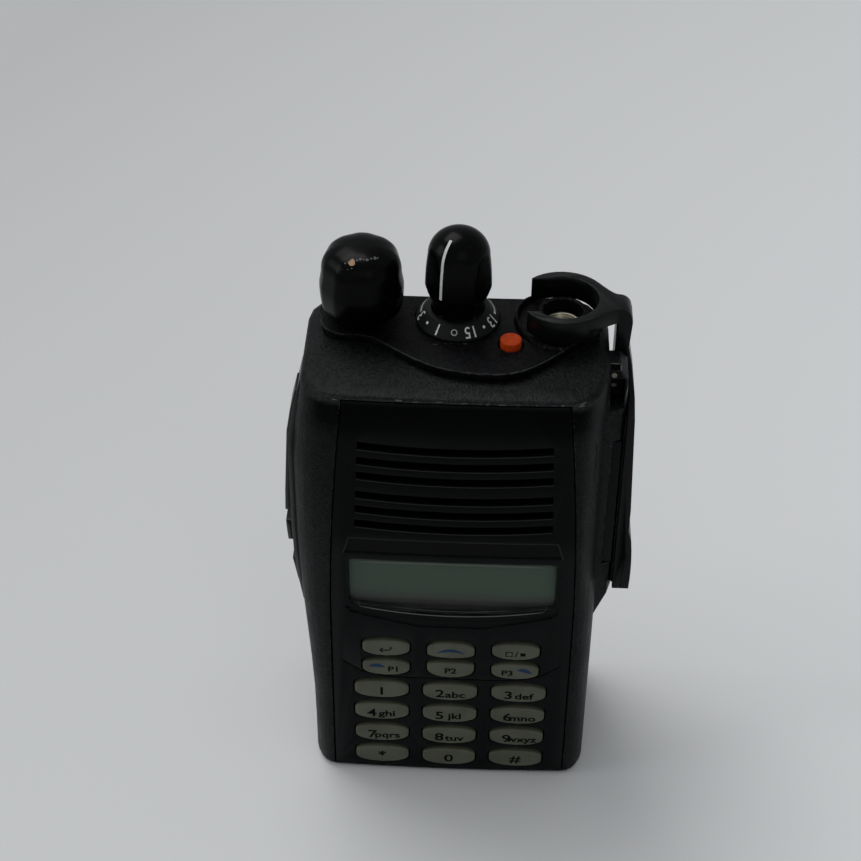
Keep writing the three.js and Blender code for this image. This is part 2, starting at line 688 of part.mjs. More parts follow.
function makeHousing() {
  const shell = box([-sideReach, sideReach], [-overrun, rear.split], [-overrun, body.height + overrun]);
  const headBlock = box(
    [-sideReach, sideReach],
    [-overrun, head.back + overrun],
    [head.bottom, body.height + overrun],
  );
  let made = wholeBody.intersect(shell.add(headBlock)).add(makePlatform());
  made = made.subtract(prism('front', panelOutline(seam.gap), -overrun, panel.back + gap));
  made = made.subtract(prism('front', panelOutline(-panel.rim), 0, panel.ledge + overrun));
  const inner = chassis.half + gap;
  made = made.subtract(box(
    [-inner, inner],
    [panel.ledge, rear.split + overrun],
    [chassis.bottom - gap, chassis.top + gap],
  ));
  made = made.subtract(box([-bay.half, bay.half], [bay.front, bay.back], [bay.floor, bay.ceiling]));
  made = made.subtract(box([-bay.half, bay.half], [bay.front, throat.back], [chassis.top, bay.floor + gap]));
  for (const { x, y, radius } of stations) {
    made = made.subtract(disc(radius, bay.ceiling - gap, body.height + overrun, x, y));
  }
  // Seat of the side strip, and a pocket behind each side key
  const seat = flankLoft(
    sideStrip.bottom - gap, sideStrip.top + gap, sideStrip.front - gap, sideStrip.back + gap,
    (z) => leftHalf(z) + overrun, (z) => leftHalf(z) - sideStrip.sunk - gap, sideStrip.steps, gap,
  );
  made = made.subtract(seat.intersect(prism('side', stripOutline(gap), -sideReach, 0)));
  for (const key of sideKeys) {
    const pocket = sideKey.flange + gap;
    made = made.subtract(flankLoft(
      key.bottom - pocket, key.top + pocket, sideKey.front - pocket, sideKey.back + pocket,
      leftHalf, (z) => leftHalf(z) - sideStrip.sunk - sideKey.flange - sideKey.travel - 2 * gap,
      sideKey.steps, gap,
    ));
  }
  // Pocket of the accessory connector, and the hooded recess above it
  made = made.subtract(box(
    [platform.outer - connector.depth - gap, sideReach],
    [connector.front - gap, connector.back + gap],
    [connectorSpan[0] - gap, connectorSpan[1] + gap],
  ));
  made = made.subtract(box(
    [hood.inner, hood.outer],
    [hood.front, hood.back],
    [hoodBottom, platform.top - hood.roof],
  ));
  // Slot of the battery latch in the bottom wall
  made = made.subtract(box(
    [-latch.half - gap, latch.half + gap],
    [latch.front - gap, rear.split + overrun],
    [latch.bottom - gap, latch.top],
  ));
  made = made.subtract(box(
    [-latch.gripLength - gap, latch.gripLength + gap],
    [latch.front - gap, latch.front + latch.gripLength + latch.travel + gap],
    [-overrun, latch.top],
  ));
  return made;
}

// Raised control panel on the head: the head's own outline behind a curved front edge
function topPanelSolid(from, to) {
  const ring = bodyRing(body.height, -topPanel.inset).map(({ x, y }) => [x, y]);
  const inset = body.edgeRadius + topPanel.inset;
  const left = leftHalf(body.height) - inset;
  const right = rightHalf(body.height) - inset;
  const place = (shares, half) => shares.map(([x, y]) => new THREE.Vector2(x * half, y * head.back));
  const edge = [...place(frontEdge.leftShares, left), ...place(frontEdge.rightShares, right)];
  const shape = new THREE.Shape();
  shape.moveTo(-left - overrun, body.depth);
  shape.lineTo(-left - overrun, edge[0].y);
  shape.lineTo(edge[0].x, edge[0].y);
  shape.splineThru(edge.slice(1));
  shape.lineTo(right + overrun, edge[edge.length - 1].y);
  shape.lineTo(right + overrun, body.depth);
  return prism('plan', polygon(ring), from, to).intersect(prism('plan', shape, from, to));
}

function makeTopPanel() {
  const above = bossTop + overrun;
  const plateau = disc(antenna.plateau, topPanelUnder, deck + antenna.plateauHeight, antenna.x, antenna.y);
  let made = topPanelSolid(topPanelUnder, deck);
  made = made.add(plateau.intersect(topPanelSolid(topPanelUnder, above)));
  made = made.add(disc(antenna.bossRadius, topPanelUnder, bossTop, antenna.x, antenna.y));
  made = made.subtract(disc(antenna.bossBore, 0, above, antenna.x, antenna.y));
  made = made.subtract(disc(emergency.radius + gap, 0, above, emergency.x, emergency.y));
  for (const station of [volume, channel]) {
    made = made.subtract(disc(bushing.radius + gap, 0, above, station.x, station.y));
  }
  return made.subtract(disc(dial.baseRadius + gap, deck - dial.recess, above, channel.x, channel.y));
}

// The fixed cone round the channel knob that carries the channel numbers
function makeDialRing() {
  const base = deck - dial.recess + gap;
  const bore = shaft.radius + bushing.height + dial.boreGap;
  return turned([
    [bore, base],
    [dial.baseRadius, base],
    [dial.baseRadius, base + dial.foot],
    [dial.topRadius, base + dial.height],
    [bore, base + dial.height],
    [bore, base],
  ], channel.x, channel.y, facets.ring);
}

// A knob: a stack of turned rings, each cut by flats that stand at its own distance from the axis
function makeKnob(knob, station, profile) {
  const base = deck + knob.lift;
  const rings = profile.map(([radius, rise, flat]) => range(knob.around).map((i) => {
    const angle = i / knob.around * 2 * Math.PI;
    const period = 2 * Math.PI / knob.flats;
    const fromFlat = Math.abs((angle + Math.PI / 2 + period / 2) % period - period / 2);
    const reach = Math.min(radius, flat / Math.cos(fromFlat));
    const [x, y] = [station.x + reach * Math.cos(angle), station.y + reach * Math.sin(angle)];
    return new THREE.Vector3(x, y, base + rise);
  }));
  const deep = base + knob.height / 2 + gap;
  const hollow = disc(shaft.radius + gap, base - overrun, deep, station.x, station.y, facets.small);
  return loft(rings).subtract(hollow);
}

function domeOf(knob) {
  const power = 2 / knob.domePower;
  return steps(facets.edge).map((t) => {
    const angle = t * knobTop.stopShare * Math.PI / 2;
    return [knob.waist * Math.cos(angle) ** power, knob.height - knob.dome * (1 - Math.sin(angle) ** power)];
  });
}

// The volume knob's flats follow its belly
function makeVolumeKnob() {
  const profile = [
    [volumeKnob.neck, 0],
    [volumeKnob.flare, volumeKnob.flareRise],
    [volumeKnob.radius, volumeKnob.bellyRise],
    ...domeOf(volumeKnob),
  ];
  const flatOf = (radius) => radius * volumeKnob.flatShare;
  return makeKnob(volumeKnob, volume, profile.map(([radius, rise]) => [radius, rise, flatOf(radius)]));
}

// The channel knob's flats stand upright, so that each ends in an arch under the dome
function makeChannelKnob() {
  const profile = [
    [channelKnob.neck, 0],
    [channelKnob.neck, channelKnob.skirtRise],
    [channelKnob.skirt, channelKnob.skirtRise],
    [channelKnob.radius, channelKnob.rimRise],
    [channelKnob.flank, channelKnob.flankRise],
    ...domeOf(channelKnob),
  ];
  const flat = channelKnob.radius * channelKnob.flatShare;
  return makeKnob(channelKnob, channel, profile.map(([radius, rise]) => [radius, rise, flat]));
}

// A potentiometer or switch under the head's ceiling, with its bushing and shaft
function makeControl(station, knob) {
  const base = deck + knob.lift;
  const top = bay.ceiling - gap;
  const collarTop = deck + bushing.height / 2;
  const shaftTop = base + knob.height / 2 - gap;
  const outline = roundedBox(
    [station.x - pot.half, station.x + pot.half],
    [station.y - pot.half + pot.chamfer, station.y + pot.half - pot.chamfer],
    pot.chamfer,
  );
  const bodyBox = prism('plan', outline, top - pot.height, top);
  const collar = disc(bushing.radius, top, collarTop, station.x, station.y, facets.small);
  const flatCut = box(
    [station.x - shaft.radius - gap, station.x + shaft.radius + gap],
    [station.y + shaft.flat, station.y + shaft.radius + gap],
    [base + gap, base + shaft.length + overrun],
  );
  const stem = disc(shaft.radius, top, shaftTop, station.x, station.y, facets.small);
  return union([bodyBox, collar, stem]).subtract(flatCut);
}

function makeEmergencyButton() {
  const { x, y, radius } = emergency;
  const shelf = body.height;
  return turned([
    [0, shelf - emergency.stem - emergency.flange],
    [emergency.stem, shelf - emergency.stem - emergency.flange],
    [emergency.stem, shelf - emergency.flange],
    [radius + emergency.flange, shelf - emergency.flange],
    [radius + emergency.flange, shelf],
    [radius, shelf],
    [radius, deck + emergency.proud - gap],
    [radius - gap, deck + emergency.proud],
    [0, deck + emergency.proud],
  ], x, y, facets.small);
}

function makeEmergencySwitch() {
  const tip = body.height - emergency.stem - emergency.flange - emergency.travel - gap;
  const half = emergency.switchHalf;
  return box(
    [emergency.x - half, emergency.x + half],
    [emergency.y - half, emergency.y + half],
    [tip - emergency.switchHeight, tip],
  );
}

// Antenna socket: threaded metal bushing, insulator and centre contact
function makeSocket() {
  const rim = bossTop - socket.recess;
  return turned([
    [socket.bore, socketBottom],
    [socket.flangeRadius, socketBottom],
    [socket.flangeRadius, socketBottom + socket.flange],
    [socket.radius, socketBottom + socket.flange],
    [socket.radius, rim],
    [socket.bore, rim],
    [socket.bore, socketBottom],
  ], antenna.x, antenna.y);
}

const makeInsulator = () => turned([
  [socket.pin + gap, socketBottom],
  [socket.bore - gap, socketBottom],
  [socket.bore - gap, socketBottom + socket.insulator],
  [socket.pin + gap, socketBottom + socket.insulator],
  [socket.pin + gap, socketBottom],
], antenna.x, antenna.y, facets.small);

const makePin = () => disc(
  socket.pin, socketBottom, socketBottom + socket.pinLength,
  antenna.x, antenna.y, facets.tiny,
);

// Accessory connector with its contact pads
function makeConnector() {
  const face = platform.outer - connector.step;
  const back = platform.outer - connector.depth;
  const block = box([back, face], [connector.front, connector.back], connectorSpan);
  const [low, high] = connectorSpan;
  const spacing = (high - low) / connector.contacts;
  const middle = (connector.front + connector.back) / 2;
  const pads = range(connector.contacts).map((i) => {
    const z = low + (i + 1 / 2) * spacing;
    return box(
      [face - gap, face + connector.padRaise],
      [middle - connector.pad, middle + connector.pad],
      [z - connector.pad, z + connector.pad],
    );
  });
  return union([block, ...pads]);
}

// Dust cover: C shaped ring round the antenna boss, with a web that runs out to the strap
function makeCoverRing() {
  const { x, y } = antenna;
  const ringBottom = ringTop - cover.ringHeight;
  const along = (degrees) => {
    const angle = THREE.MathUtils.degToRad(degrees);
    return [x + cover.ringOuter * Math.cos(angle), y + cover.ringOuter * Math.sin(angle)];
  };
  // Where the tangent at a point of the ring meets the strap's edge
  const meeting = (degrees, edge) => {
    const [startX, startY] = along(degrees);
    return startX - (edge - startY) * Math.tan(THREE.MathUtils.degToRad(degrees));
  };
  const web = new THREE.Shape();
  web.moveTo(...along(-cover.frontTangent));
  web.quadraticCurveTo(
    meeting(-cover.frontTangent, cover.strapFront), cover.strapFront, cover.webEnd, cover.strapFront,
  );
  web.lineTo(cover.strapOuter - cover.bulge, cover.strapFront);
  web.lineTo(cover.strapOuter - cover.bulge, cover.strapBack);
  web.lineTo(cover.webEnd, cover.strapBack);
  web.quadraticCurveTo(
    meeting(cover.backTangent, cover.strapBack), cover.strapBack, ...along(cover.backTangent),
  );
  const bore = turned([
    [0, ringBottom - overrun],
    [cover.ringInner, ringBottom - overrun],
    [cover.ringInner, ringTop - cover.chamfer],
    [cover.ringInner + cover.chamfer / 2, ringTop + gap],
    [0, ringTop + gap],
  ], x, y, facets.ring);
  const mouth = box(
    [x - cover.ringOuter - overrun, x],
    [y - cover.mouthFront, y + cover.mouthBack],
    [ringBottom - overrun, ringTop + overrun],
  );
  return disc(cover.ringOuter, ringBottom, ringTop, x, y, facets.ring)
    .add(prism('plan', web, ringTop - cover.web, ringTop, facets.curve))
    .subtract(bore)
    .subtract(mouth);
}

// Strap, seen from the front, down beside the head to the plate's upper end
function makeCoverStrap(plateOuter) {
  const inner = cover.strapOuter - cover.strap;
  const strap = polygon([
    [inner, coverTongue],
    [plateOuter - cover.lean, coverTongue],
    [lerp(cover.strapOuter, plateOuter - cover.lean, 1 / 2), coverTop],
    [cover.strapOuter - cover.sway, platform.top],
    [cover.strapOuter + cover.sway, ringTop - cover.web],
    [cover.strapOuter, ringTop - cover.chamfer],
    [cover.strapOuter - cover.chamfer, ringTop],
    [inner, ringTop],
  ]);
  return prism('front', strap, cover.strapFront, cover.strapBack);
}

// Plate over the connector: its side outline cut from a front profile that ends in the pull tab
function makeCoverPlate(plateInner, plateOuter) {
  const sideOutline = polygon([
    [cover.front, coverBottom],
    [cover.back, coverBottom],
    [cover.back, coverHook],
    [cover.strapBack, coverShoulder],
    [cover.strapBack, coverTop],
    [cover.strapFront, coverTop],
    [cover.front + cover.web, coverTongue],
    [cover.front, coverShoulder],
  ]);
  const tab = steps(facets.curve).map((t) => [
    plateOuter + pullTab.reach * Math.sqrt(Math.sin(lerp(pullTab.footShare, 1, t) * Math.PI)),
    coverBottom + pullTab.height * t,
  ]);
  const profile = polygon([
    [plateInner, coverBottom],
    [plateOuter - pullTab.recess, coverBottom],
    [plateOuter - pullTab.recess / 2, coverBottom + pullTab.slit],
    [plateOuter, coverBottom],
    ...tab,
    [plateOuter, platform.top - cover.leanDrop],
    [plateOuter - cover.lean, coverTongue],
    [lerp(plateInner, plateOuter - cover.lean, 1 / 2), coverTop],
    [plateInner, coverTop],
  ]);
  return prism('side', sideOutline, 0, plateOuter + overrun)
    .intersect(prism('front', profile, 0, cover.strapBack + overrun));
}

function makeCover() {
  const plateInner = platform.outer + gap;
  const plateOuter = plateInner + cover.thickness;
  return union([makeCoverRing(), makeCoverStrap(plateOuter), makeCoverPlate(plateInner, plateOuter)]);
}

// Pieces behind the front panel
const lcdSpan = [displayFoot - lcd.under, grilleFoot - lcd.over];

function makeLcd() {
  const block = box([-lcd.half, lcd.half], [lcd.front + lcd.glassStep, lcd.back], lcdSpan);
  const frame = box([-lcd.half, lcd.half], [lcd.front, lcd.back], lcdSpan);
  const view = box(
    [-lcd.half + lcd.frame, lcd.half - lcd.frame],
    [lcd.front - overrun, lcd.front + lcd.glassStep],
    [lcdSpan[0] + lcd.frame, lcdSpan[1] - lcd.frame],
  );
  return frame.subtract(view).add(block);
}

function makeKeyMat() {
  const top = displayFoot - keyMat.drop;
  let made = box([-keyMat.half, keyMat.half], [keyMat.base, keyMat.back], [keyMat.bottom, top]);
  for (const key of keys) {
    const half = key.width * keyMat.padShare / 2;
    const middle = key.z + (key.above - key.below) / 2;
    const tall = (key.above + key.below) * keyMat.padShare / 2;
    made = made.add(box(
      [key.x - half, key.x + half],
      [keyMat.front, keyMat.base + gap],
      [middle - tall, middle + tall],
    ));
  }
  return made;
}

const makeKeyBoard = () => box(
  [-keyBoard.half, keyBoard.half],
  [keyBoard.front, keyBoard.front + keyBoard.thickness],
  [keyBoard.bottom, grilleFoot + keyBoard.rise],
);

const alongY = (made, x, z) => made.rotate([90, 0, 0]).translate([x, 0, z]);

// A piece turned about an axis that runs front to back: profile is [radius, distance behind the front]
function turnedFront(profile, x, z, segments = facets.round) {
  const made = turned(profile.map(([radius, y]) => [radius, -y]), 0, 0, segments);
  return alongY(made, x, z);
}

function makeCloth() {
  const back = panel.back + gap + speaker.clothThickness;
  const half = grille.bottomHalf + speaker.rim / 2;
  const top = highestSlot + grille.height;
  const bottom = lowestSlot - grille.height - grille.bow;
  return box([-half, half], [panel.back + gap, back], [bottom, top]);
}

function makeSpeakerFrame() {
  const front = panel.ledge + gap;
  const back = front + speaker.depth - speaker.magnetDepth;
  const magnet = speakerRadius * speaker.magnetShare;
  return turnedFront([
    [speakerRadius, front],
    [speakerRadius, front + speaker.rim],
    [magnet, back],
    [magnet, back + speaker.magnetDepth],
    [0, back + speaker.magnetDepth],
    [0, back],
    [magnet - speaker.rim, back],
    [speakerRadius - speaker.rim, front + speaker.rim],
    [speakerRadius - speaker.rim, front],
    [speakerRadius, front],
  ], 0, speakerHeight, facets.middle);
}

function makeSpeakerCone() {
  const front = panel.ledge + gap + speakerCone.thickness;
  const { thickness, throat } = speakerCone;
  const dome = speakerRadius * speakerCone.domeShare;
  const edge = speakerRadius - speakerCone.edgeInset;
  return turnedFront([
    [0, front],
    [dome, front + throat],
    [edge, front],
    [edge, front + thickness],
    [dome, front + throat + thickness],
    [0, front + thickness],
  ], 0, speakerHeight, facets.middle);
}

const makeMicrophone = () => turnedFront([
  [0, panel.ledge],
  [microphone.radius, panel.ledge],
  [microphone.radius, panel.ledge + microphone.depth],
  [0, panel.ledge + microphone.depth],
], microphone.x, grilleFoot + microphone.rise, facets.small);

const makeMainBoard = () => box(
  [-mainBoard.half, mainBoard.half],
  [mainBoard.front, mainBoard.front + mainBoard.thickness],
  [mainBoard.bottom, mainBoard.top],
);

// Chassis: a tray that closes the housing from behind, with the battery's rails on its back
function railSolid(x, z) {
  const tip = rear.split + rail.reach;
  const span = [z, z + rail.length];
  const neck = box([x - rail.neck / 2, x + rail.neck / 2], [rear.split - 2 * gap, tip], span);
  const cap = box([x - rail.head / 2, x + rail.head / 2], [tip - rail.headDepth, tip], span);
  return neck.add(cap);
}

const railHeights = rail.heightShares.map((share) => lerp(chassis.bottom, chassis.top, share));
const railPlaces = [-rail.x, rail.x].flatMap((x) => railHeights.map((z) => [x, z]));
const screwPlaces = [-chassisScrew.x, chassisScrew.x]
  .flatMap((x) => [chassisScrew.bottom, chassis.top - chassisScrew.drop].map((z) => [x, z]));
const rod = (radius, front, back, x, z, sides) => alongY(disc(radius, -back, -front, 0, 0, sides), x, z);

function makeChassis() {
  const back = rear.split - gap / 2;
  let made = box([-chassis.half, chassis.half], [chassis.front, back], [chassis.bottom, chassis.top]);
  made = made.subtract(box(
    [-chassis.half + chassis.rim, chassis.half - chassis.rim],
    [chassis.front - overrun, chassis.plate],
    [chassis.bottom + chassis.rim, chassis.top - chassis.rim],
  ));
  const spacing = (chassis.top - chassis.bottom) / (chassis.ribs + 1);
  for (const i of range(chassis.ribs)) {
    const z = chassis.bottom + (i + 1) * spacing;
    made = made.add(box(
      [-chassis.half + chassis.rim / 2, chassis.half - chassis.rim / 2],
      [chassis.front + seal.depth, chassis.plate + gap],
      [z - chassis.rib / 2, z + chassis.rib / 2],
    ));
  }
  for (const [x, z] of railPlaces) {
    made = made.add(railSolid(x, z));
  }
  for (const [x, z] of screwPlaces) {
    const { headRadius, head: headHeight, shank } = chassisScrew;
    const sunk = back - headHeight - gap;
    made = made.add(rod(headRadius + chassis.rib, chassis.front + gap, back - gap, x, z, facets.small));
    made = made.subtract(rod(headRadius + gap, sunk, back + overrun, x, z, facets.small));
    made = made.subtract(rod(shank + gap, chassis.front - overrun, back + overrun, x, z, facets.tiny));
  }
  const seat = box(
    [-contact.half - gap, contact.half + gap],
    [back - contact.blockDepth - gap, back + overrun],
    [contact.height - gap, contact.height + contact.tall + gap],
  );
  made = made.subtract(seat);
  return made;
}

function makeScrew([x, z]) {
  const back = rear.split - gap / 2 - gap;
  return turnedFront([
    [0, back],
    [chassisScrew.headRadius, back],
    [chassisScrew.headRadius, back - chassisScrew.head + gap],
    [chassisScrew.shank, back - chassisScrew.head + gap],
    [chassisScrew.shank, back - chassisScrew.length],
    [0, back - chassisScrew.length],
  ], x, z, facets.small);
}

// Contact blocks, one on the chassis and one on the battery, with pads that face each other
function contactBlock(from, to, padFrom, padTo) {
  const span = [contact.height, contact.height + contact.tall];
  const block = box([-contact.half, contact.half], [from, to], span);
  const middle = contact.height + contact.tall / 2;
  const pads = range(contact.pads).map((i) => {
    const x = (i - (contact.pads - 1) / 2) * contact.pitch;
    return box(
      [x - contact.padHalf, x + contact.padHalf],
      [padFrom, padTo],
      [middle - contact.padHalf, middle + contact.padHalf],
    );
  });
  return union([block, ...pads]);
}

// Battery: case, lid towards the radio, two cells
function makeBatteryCase() {
  const side = body.half - battery.sideInset;
  const region = box([-side, side], [battery.front, body.depth + overrun], [-overrun, battery.top]);
  let made = wholeBody.intersect(region);
  const inner = side - battery.wall;
  const floor = battery.wall + latch.top;
  made = made.subtract(box(
    [-inner, inner],
    [battery.front - overrun, body.depth - battery.wall],
    [floor, head.slopeStart],
  ));
  made = made.subtract(box(
    [-inner - battery.wall / 2, inner + battery.wall / 2],
    [battery.front - overrun, battery.front + battery.lid + gap],
    [floor - battery.wall / 2, battery.top - battery.wall],
  ));
  made = made.subtract(box(
    [-latch.half - gap, latch.half + gap],
    [0, battery.front + latch.travel + gap],
    [latch.lip, latch.top + gap],
  ));
  for (const i of range(battery.ribs)) {
    const z = battery.top - battery.ribDrop + i * battery.ribPitch;
    made = made.subtract(box(
      [-battery.ribHalf, battery.ribHalf],
      [body.depth - battery.grooveDepth, body.depth + overrun],
      [z, z + battery.ribHeight],
    ));
  }
  return made;
}

function makeBatteryLid() {
  const inner = body.half - battery.sideInset - battery.wall / 2 - gap;
  const floor = battery.wall / 2 + latch.top;
  let made = box(
    [-inner, inner],
    [battery.front, battery.front + battery.lid],
    [floor + gap, battery.top - battery.wall - gap],
  );
  for (const [x, z] of railPlaces) {
    made = made.subtract(box(
      [x - rail.head / 2 - gap, x + rail.head / 2 + gap],
      [0, body.depth],
      [z - gap, z + rail.length * 2 + gap],
    ));
  }
  made = made.subtract(box(
    [-contact.half - gap, contact.half + gap],
    [0, body.depth],
    [contact.height - gap, contact.height + contact.tall + gap],
  ));
  return made;
}

function makeCell(side) {
  const inner = body.half - battery.sideInset - battery.wall - battery.cellGap;
  const from = battery.cellGap / 2;
  const front = battery.front + rail.reach + 2 * gap;
  const back = body.depth - battery.wall - battery.cellGap;
  const outline = side > 0
    ? roundedBox([from, inner], [front, back], battery.cellRadius)
    : roundedBox([-inner, -from], [front, back], battery.cellRadius);
  const floor = battery.wall + latch.top + battery.cellGap;
  return prism('plan', outline, floor, head.slopeStart - battery.cellGap);
}

function makeLatch() {
  const start = latch.front + latch.startGap;
  const plate = box([-latch.half, latch.half], [start, latch.back], [latch.bottom, latch.top - gap]);
  const grip = box(
    [-latch.gripLength, latch.gripLength],
    [start, latch.front + latch.gripLength],
    [latch.bottom - latch.grip, latch.bottom + gap],
  );
  return plate.add(grip);
}

function makeSeal() {
  const outer = chassis.half - gap;
  const rimFront = chassis.front - seal.depth - gap;
  const ring = box(
    [-outer, outer],
    [rimFront, chassis.front - gap],
    [chassis.bottom + gap, chassis.top - gap],
  );
  const hole = box(
    [-outer + seal.width, outer - seal.width],
    [rimFront - overrun, chassis.front + overrun],
    [chassis.bottom + gap + seal.width, chassis.top - gap - seal.width],
  );
  return ring.subtract(hole);
}

add('front_panel', makeFrontPanel(), smooth);
add('front_housing', makeHousing(), moulded);
add('display_lens', makeLens(), clearLens);
keys.forEach((key) => add(key.name, keyCap(key), keyPlastic));
add('display_module', makeLcd(), insulating);
add('keypad_mat', makeKeyMat(), rubber);
add('keypad_board', makeKeyBoard(), circuit);
add('speaker_cloth', makeCloth(), cloth);
add('speaker_frame', makeSpeakerFrame(), steel);
add('speaker_cone', makeSpeakerCone(), coneFilm);
add('microphone', makeMicrophone(), metal);
add('main_board', makeMainBoard(), circuit);
add('chassis', makeChassis(), castMetal);
add('chassis_seal', makeSeal(), rubber);
screwPlaces.forEach((place, i) => add(`chassis_screw_${i + 1}`, makeScrew(place), steel));
const chassisBack = rear.split - gap / 2;
add('chassis_contacts', contactBlock(
  chassisBack - contact.blockDepth, chassisBack - gap,
  chassisBack - 2 * gap, chassisBack + contact.proud / 2,
), insulating);
add('top_panel', makeTopPanel(), smooth);
add('dial_ring', makeDialRing(), smooth);
add('volume_control', makeControl(volume, volumeKnob), steel);
add('channel_switch', makeControl(channel, channelKnob), steel);
add('volume_knob', makeVolumeKnob(), smooth);
add('channel_knob', makeChannelKnob(), smooth);
add('emergency_button', makeEmergencyButton(), orange);
add('emergency_switch', makeEmergencySwitch(), insulating);
add('antenna_socket', makeSocket(), metal);
add('antenna_insulator', makeInsulator(), insulating);
add('antenna_pin', makePin(), metal);
add('side_connector', makeConnector(), insulating);
add('dust_cover', makeCover(), rubber);
add('side_strip', makeSideStrip(), rubber);
sideKeys.forEach((key) => add(key.name, makeSideKey(key), rubber));
add('battery_case', makeBatteryCase(), moulded);
add('battery_lid', makeBatteryLid(), moulded);
add('battery_cell_left', makeCell(-1), cellWrap);
add('battery_cell_right', makeCell(1), cellWrap);
add('battery_contacts', contactBlock(
  battery.front + gap, battery.front + battery.lid,
  battery.front - contact.proud / 2, battery.front + 2 * gap,
), insulating);
add('battery_latch', makeLatch(), smooth);

// Origin at the middle of the base of the whole object's box
const bounds = new THREE.Box3().setFromObject(radio);
const middle = bounds.getCenter(new THREE.Vector3());
radio.position.set(-middle.x, -middle.y, -bounds.min.z);
radio.updateMatrixWorld(true);

export default radio;
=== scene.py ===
import json
import math

import bmesh
import bpy
from mathutils import Euler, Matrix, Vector
from mathutils.bvhtree import BVHTree


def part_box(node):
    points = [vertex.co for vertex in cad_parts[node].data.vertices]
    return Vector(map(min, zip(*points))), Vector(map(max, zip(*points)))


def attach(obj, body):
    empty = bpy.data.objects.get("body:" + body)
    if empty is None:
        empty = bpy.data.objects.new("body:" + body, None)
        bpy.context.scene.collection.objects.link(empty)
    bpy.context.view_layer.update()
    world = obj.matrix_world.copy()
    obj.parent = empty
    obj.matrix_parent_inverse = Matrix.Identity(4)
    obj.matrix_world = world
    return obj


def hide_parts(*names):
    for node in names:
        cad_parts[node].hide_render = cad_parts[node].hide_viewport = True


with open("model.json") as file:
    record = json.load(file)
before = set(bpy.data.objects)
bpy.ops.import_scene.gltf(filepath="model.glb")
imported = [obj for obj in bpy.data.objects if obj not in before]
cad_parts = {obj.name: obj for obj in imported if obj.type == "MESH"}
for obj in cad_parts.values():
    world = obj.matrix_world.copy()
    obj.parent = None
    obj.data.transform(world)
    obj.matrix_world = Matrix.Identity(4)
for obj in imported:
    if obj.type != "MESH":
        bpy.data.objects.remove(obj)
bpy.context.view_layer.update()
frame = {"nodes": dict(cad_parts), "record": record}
nodes = frame["nodes"]

# The CAD's own lengths are millimetres from the middle of the keypad's front, on the base
MM = 0.001
KEY = {"proud": 0.55, "ear": 0.8, "power": 5, "end_share": 0.35, "dome_share": 0.66, "points": 56,
       "least_share": 0.1}
key_low, key_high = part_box("key_0")
ORIGIN = Vector(((key_low.x + key_high.x) / 2, key_low.y + KEY["proud"] * MM, 0))


def place(x, y, z):
    return ORIGIN + Vector((x, y, z)) * MM


def local_box(node):
    """A node's box in the CAD's own millimetres."""
    low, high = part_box(node)
    return (low - ORIGIN) / MM, (high - ORIGIN) / MM


# Camera at the photograph's angle, as fitted to the keypad and the body
CAMERA = {"x": 4.535, "y": -258.524, "z": 304.568, "lens": 79.44, "sensor": 36, "clip": 10}
CAMERA_TURN = (50.4985, -0.4499, 2.3518)


def make_camera():
    data = bpy.data.cameras.new("camera")
    data.lens = CAMERA["lens"]
    data.sensor_width = CAMERA["sensor"]
    data.clip_start = CAMERA["clip"] * MM
    camera = bpy.data.objects.new("camera", data)
    camera.location = place(CAMERA["x"], CAMERA["y"], CAMERA["z"])
    camera.rotation_euler = Euler([math.radians(a) for a in CAMERA_TURN])
    bpy.context.scene.collection.objects.link(camera)
    bpy.context.scene.camera = camera


# Node helpers for the procedural materials
EDGE_SAMPLES = 4


def new_material(name):
    material = bpy.data.materials.new(name)
    material.use_nodes = True
    tree = material.node_tree
    return material, tree, tree.nodes["Principled BSDF"]


def feed(tree, node, inputs):
    """Links a node's inputs to other nodes, or sets their own values."""
    for name, value in inputs.items():
        if isinstance(value, bpy.types.NodeSocket):
            tree.links.new(value, node.inputs[name])
        else:
            node.inputs[name].default_value = value
    return node


def node_of(tree, kind, inputs, **settings):
    node = tree.nodes.new("ShaderNode" + kind)
    for name, value in settings.items():
        setattr(node, name, value)
    return feed(tree, node, inputs)


def coordinates_of(tree, kind="Object"):
    return node_of(tree, "TexCoord", {}).outputs[kind]


def axis_of(tree, axis, kind="Object"):
    return node_of(tree, "SeparateXYZ", {"Vector": coordinates_of(tree, kind)}).outputs[axis]


def share_of(tree, source, start, end):
    """How far a value has come from start to end, between 0 and 1."""
    return node_of(tree, "MapRange", {"Value": source, "From Min": start, "From Max": end}).outputs["Result"]


def noise_of(tree, size, detail=2, roughness=0.5):
    """A noise texture whose features are about size millimetres."""
    scale = 1 / (size * MM)
    inputs = {"Vector": coordinates_of(tree), "Scale": scale, "Detail": detail, "Roughness": roughness}
    return node_of(tree, "TexNoise", inputs).outputs["Fac"]


def grey(value):
    return (value, value, value, 1)


def ramp_of(tree, source, stops):
    """A colour ramp through (position, grey or colour) stops."""
    ramp = node_of(tree, "ValToRGB", {"Fac": source})
    elements = ramp.color_ramp.elements
    while len(elements) < len(stops):
        elements.new(0.5)
    for element, (position, colour) in zip(elements, stops):
        element.position = position
        element.color = grey(colour) if isinstance(colour, (int, float)) else (*colour, 1)
    return ramp.outputs["Color"]


def mix_of(tree, factor, first, second):
    inputs = {"Factor": factor, "A": first, "B": second}
    return node_of(tree, "Mix", inputs, data_type="RGBA").outputs["Result"]


def scaled_colour(tree, factor, colour):
    """A colour times a grey factor."""
    inputs = {"Factor": 1, "A": colour, "B": factor}
    return node_of(tree, "Mix", inputs, data_type="RGBA", blend_type="MULTIPLY").outputs["Result"]


def multiply_of(tree, first, second):
    return node_of(tree, "Math", {0: first, 1: second}, operation="MULTIPLY").outputs["Value"]


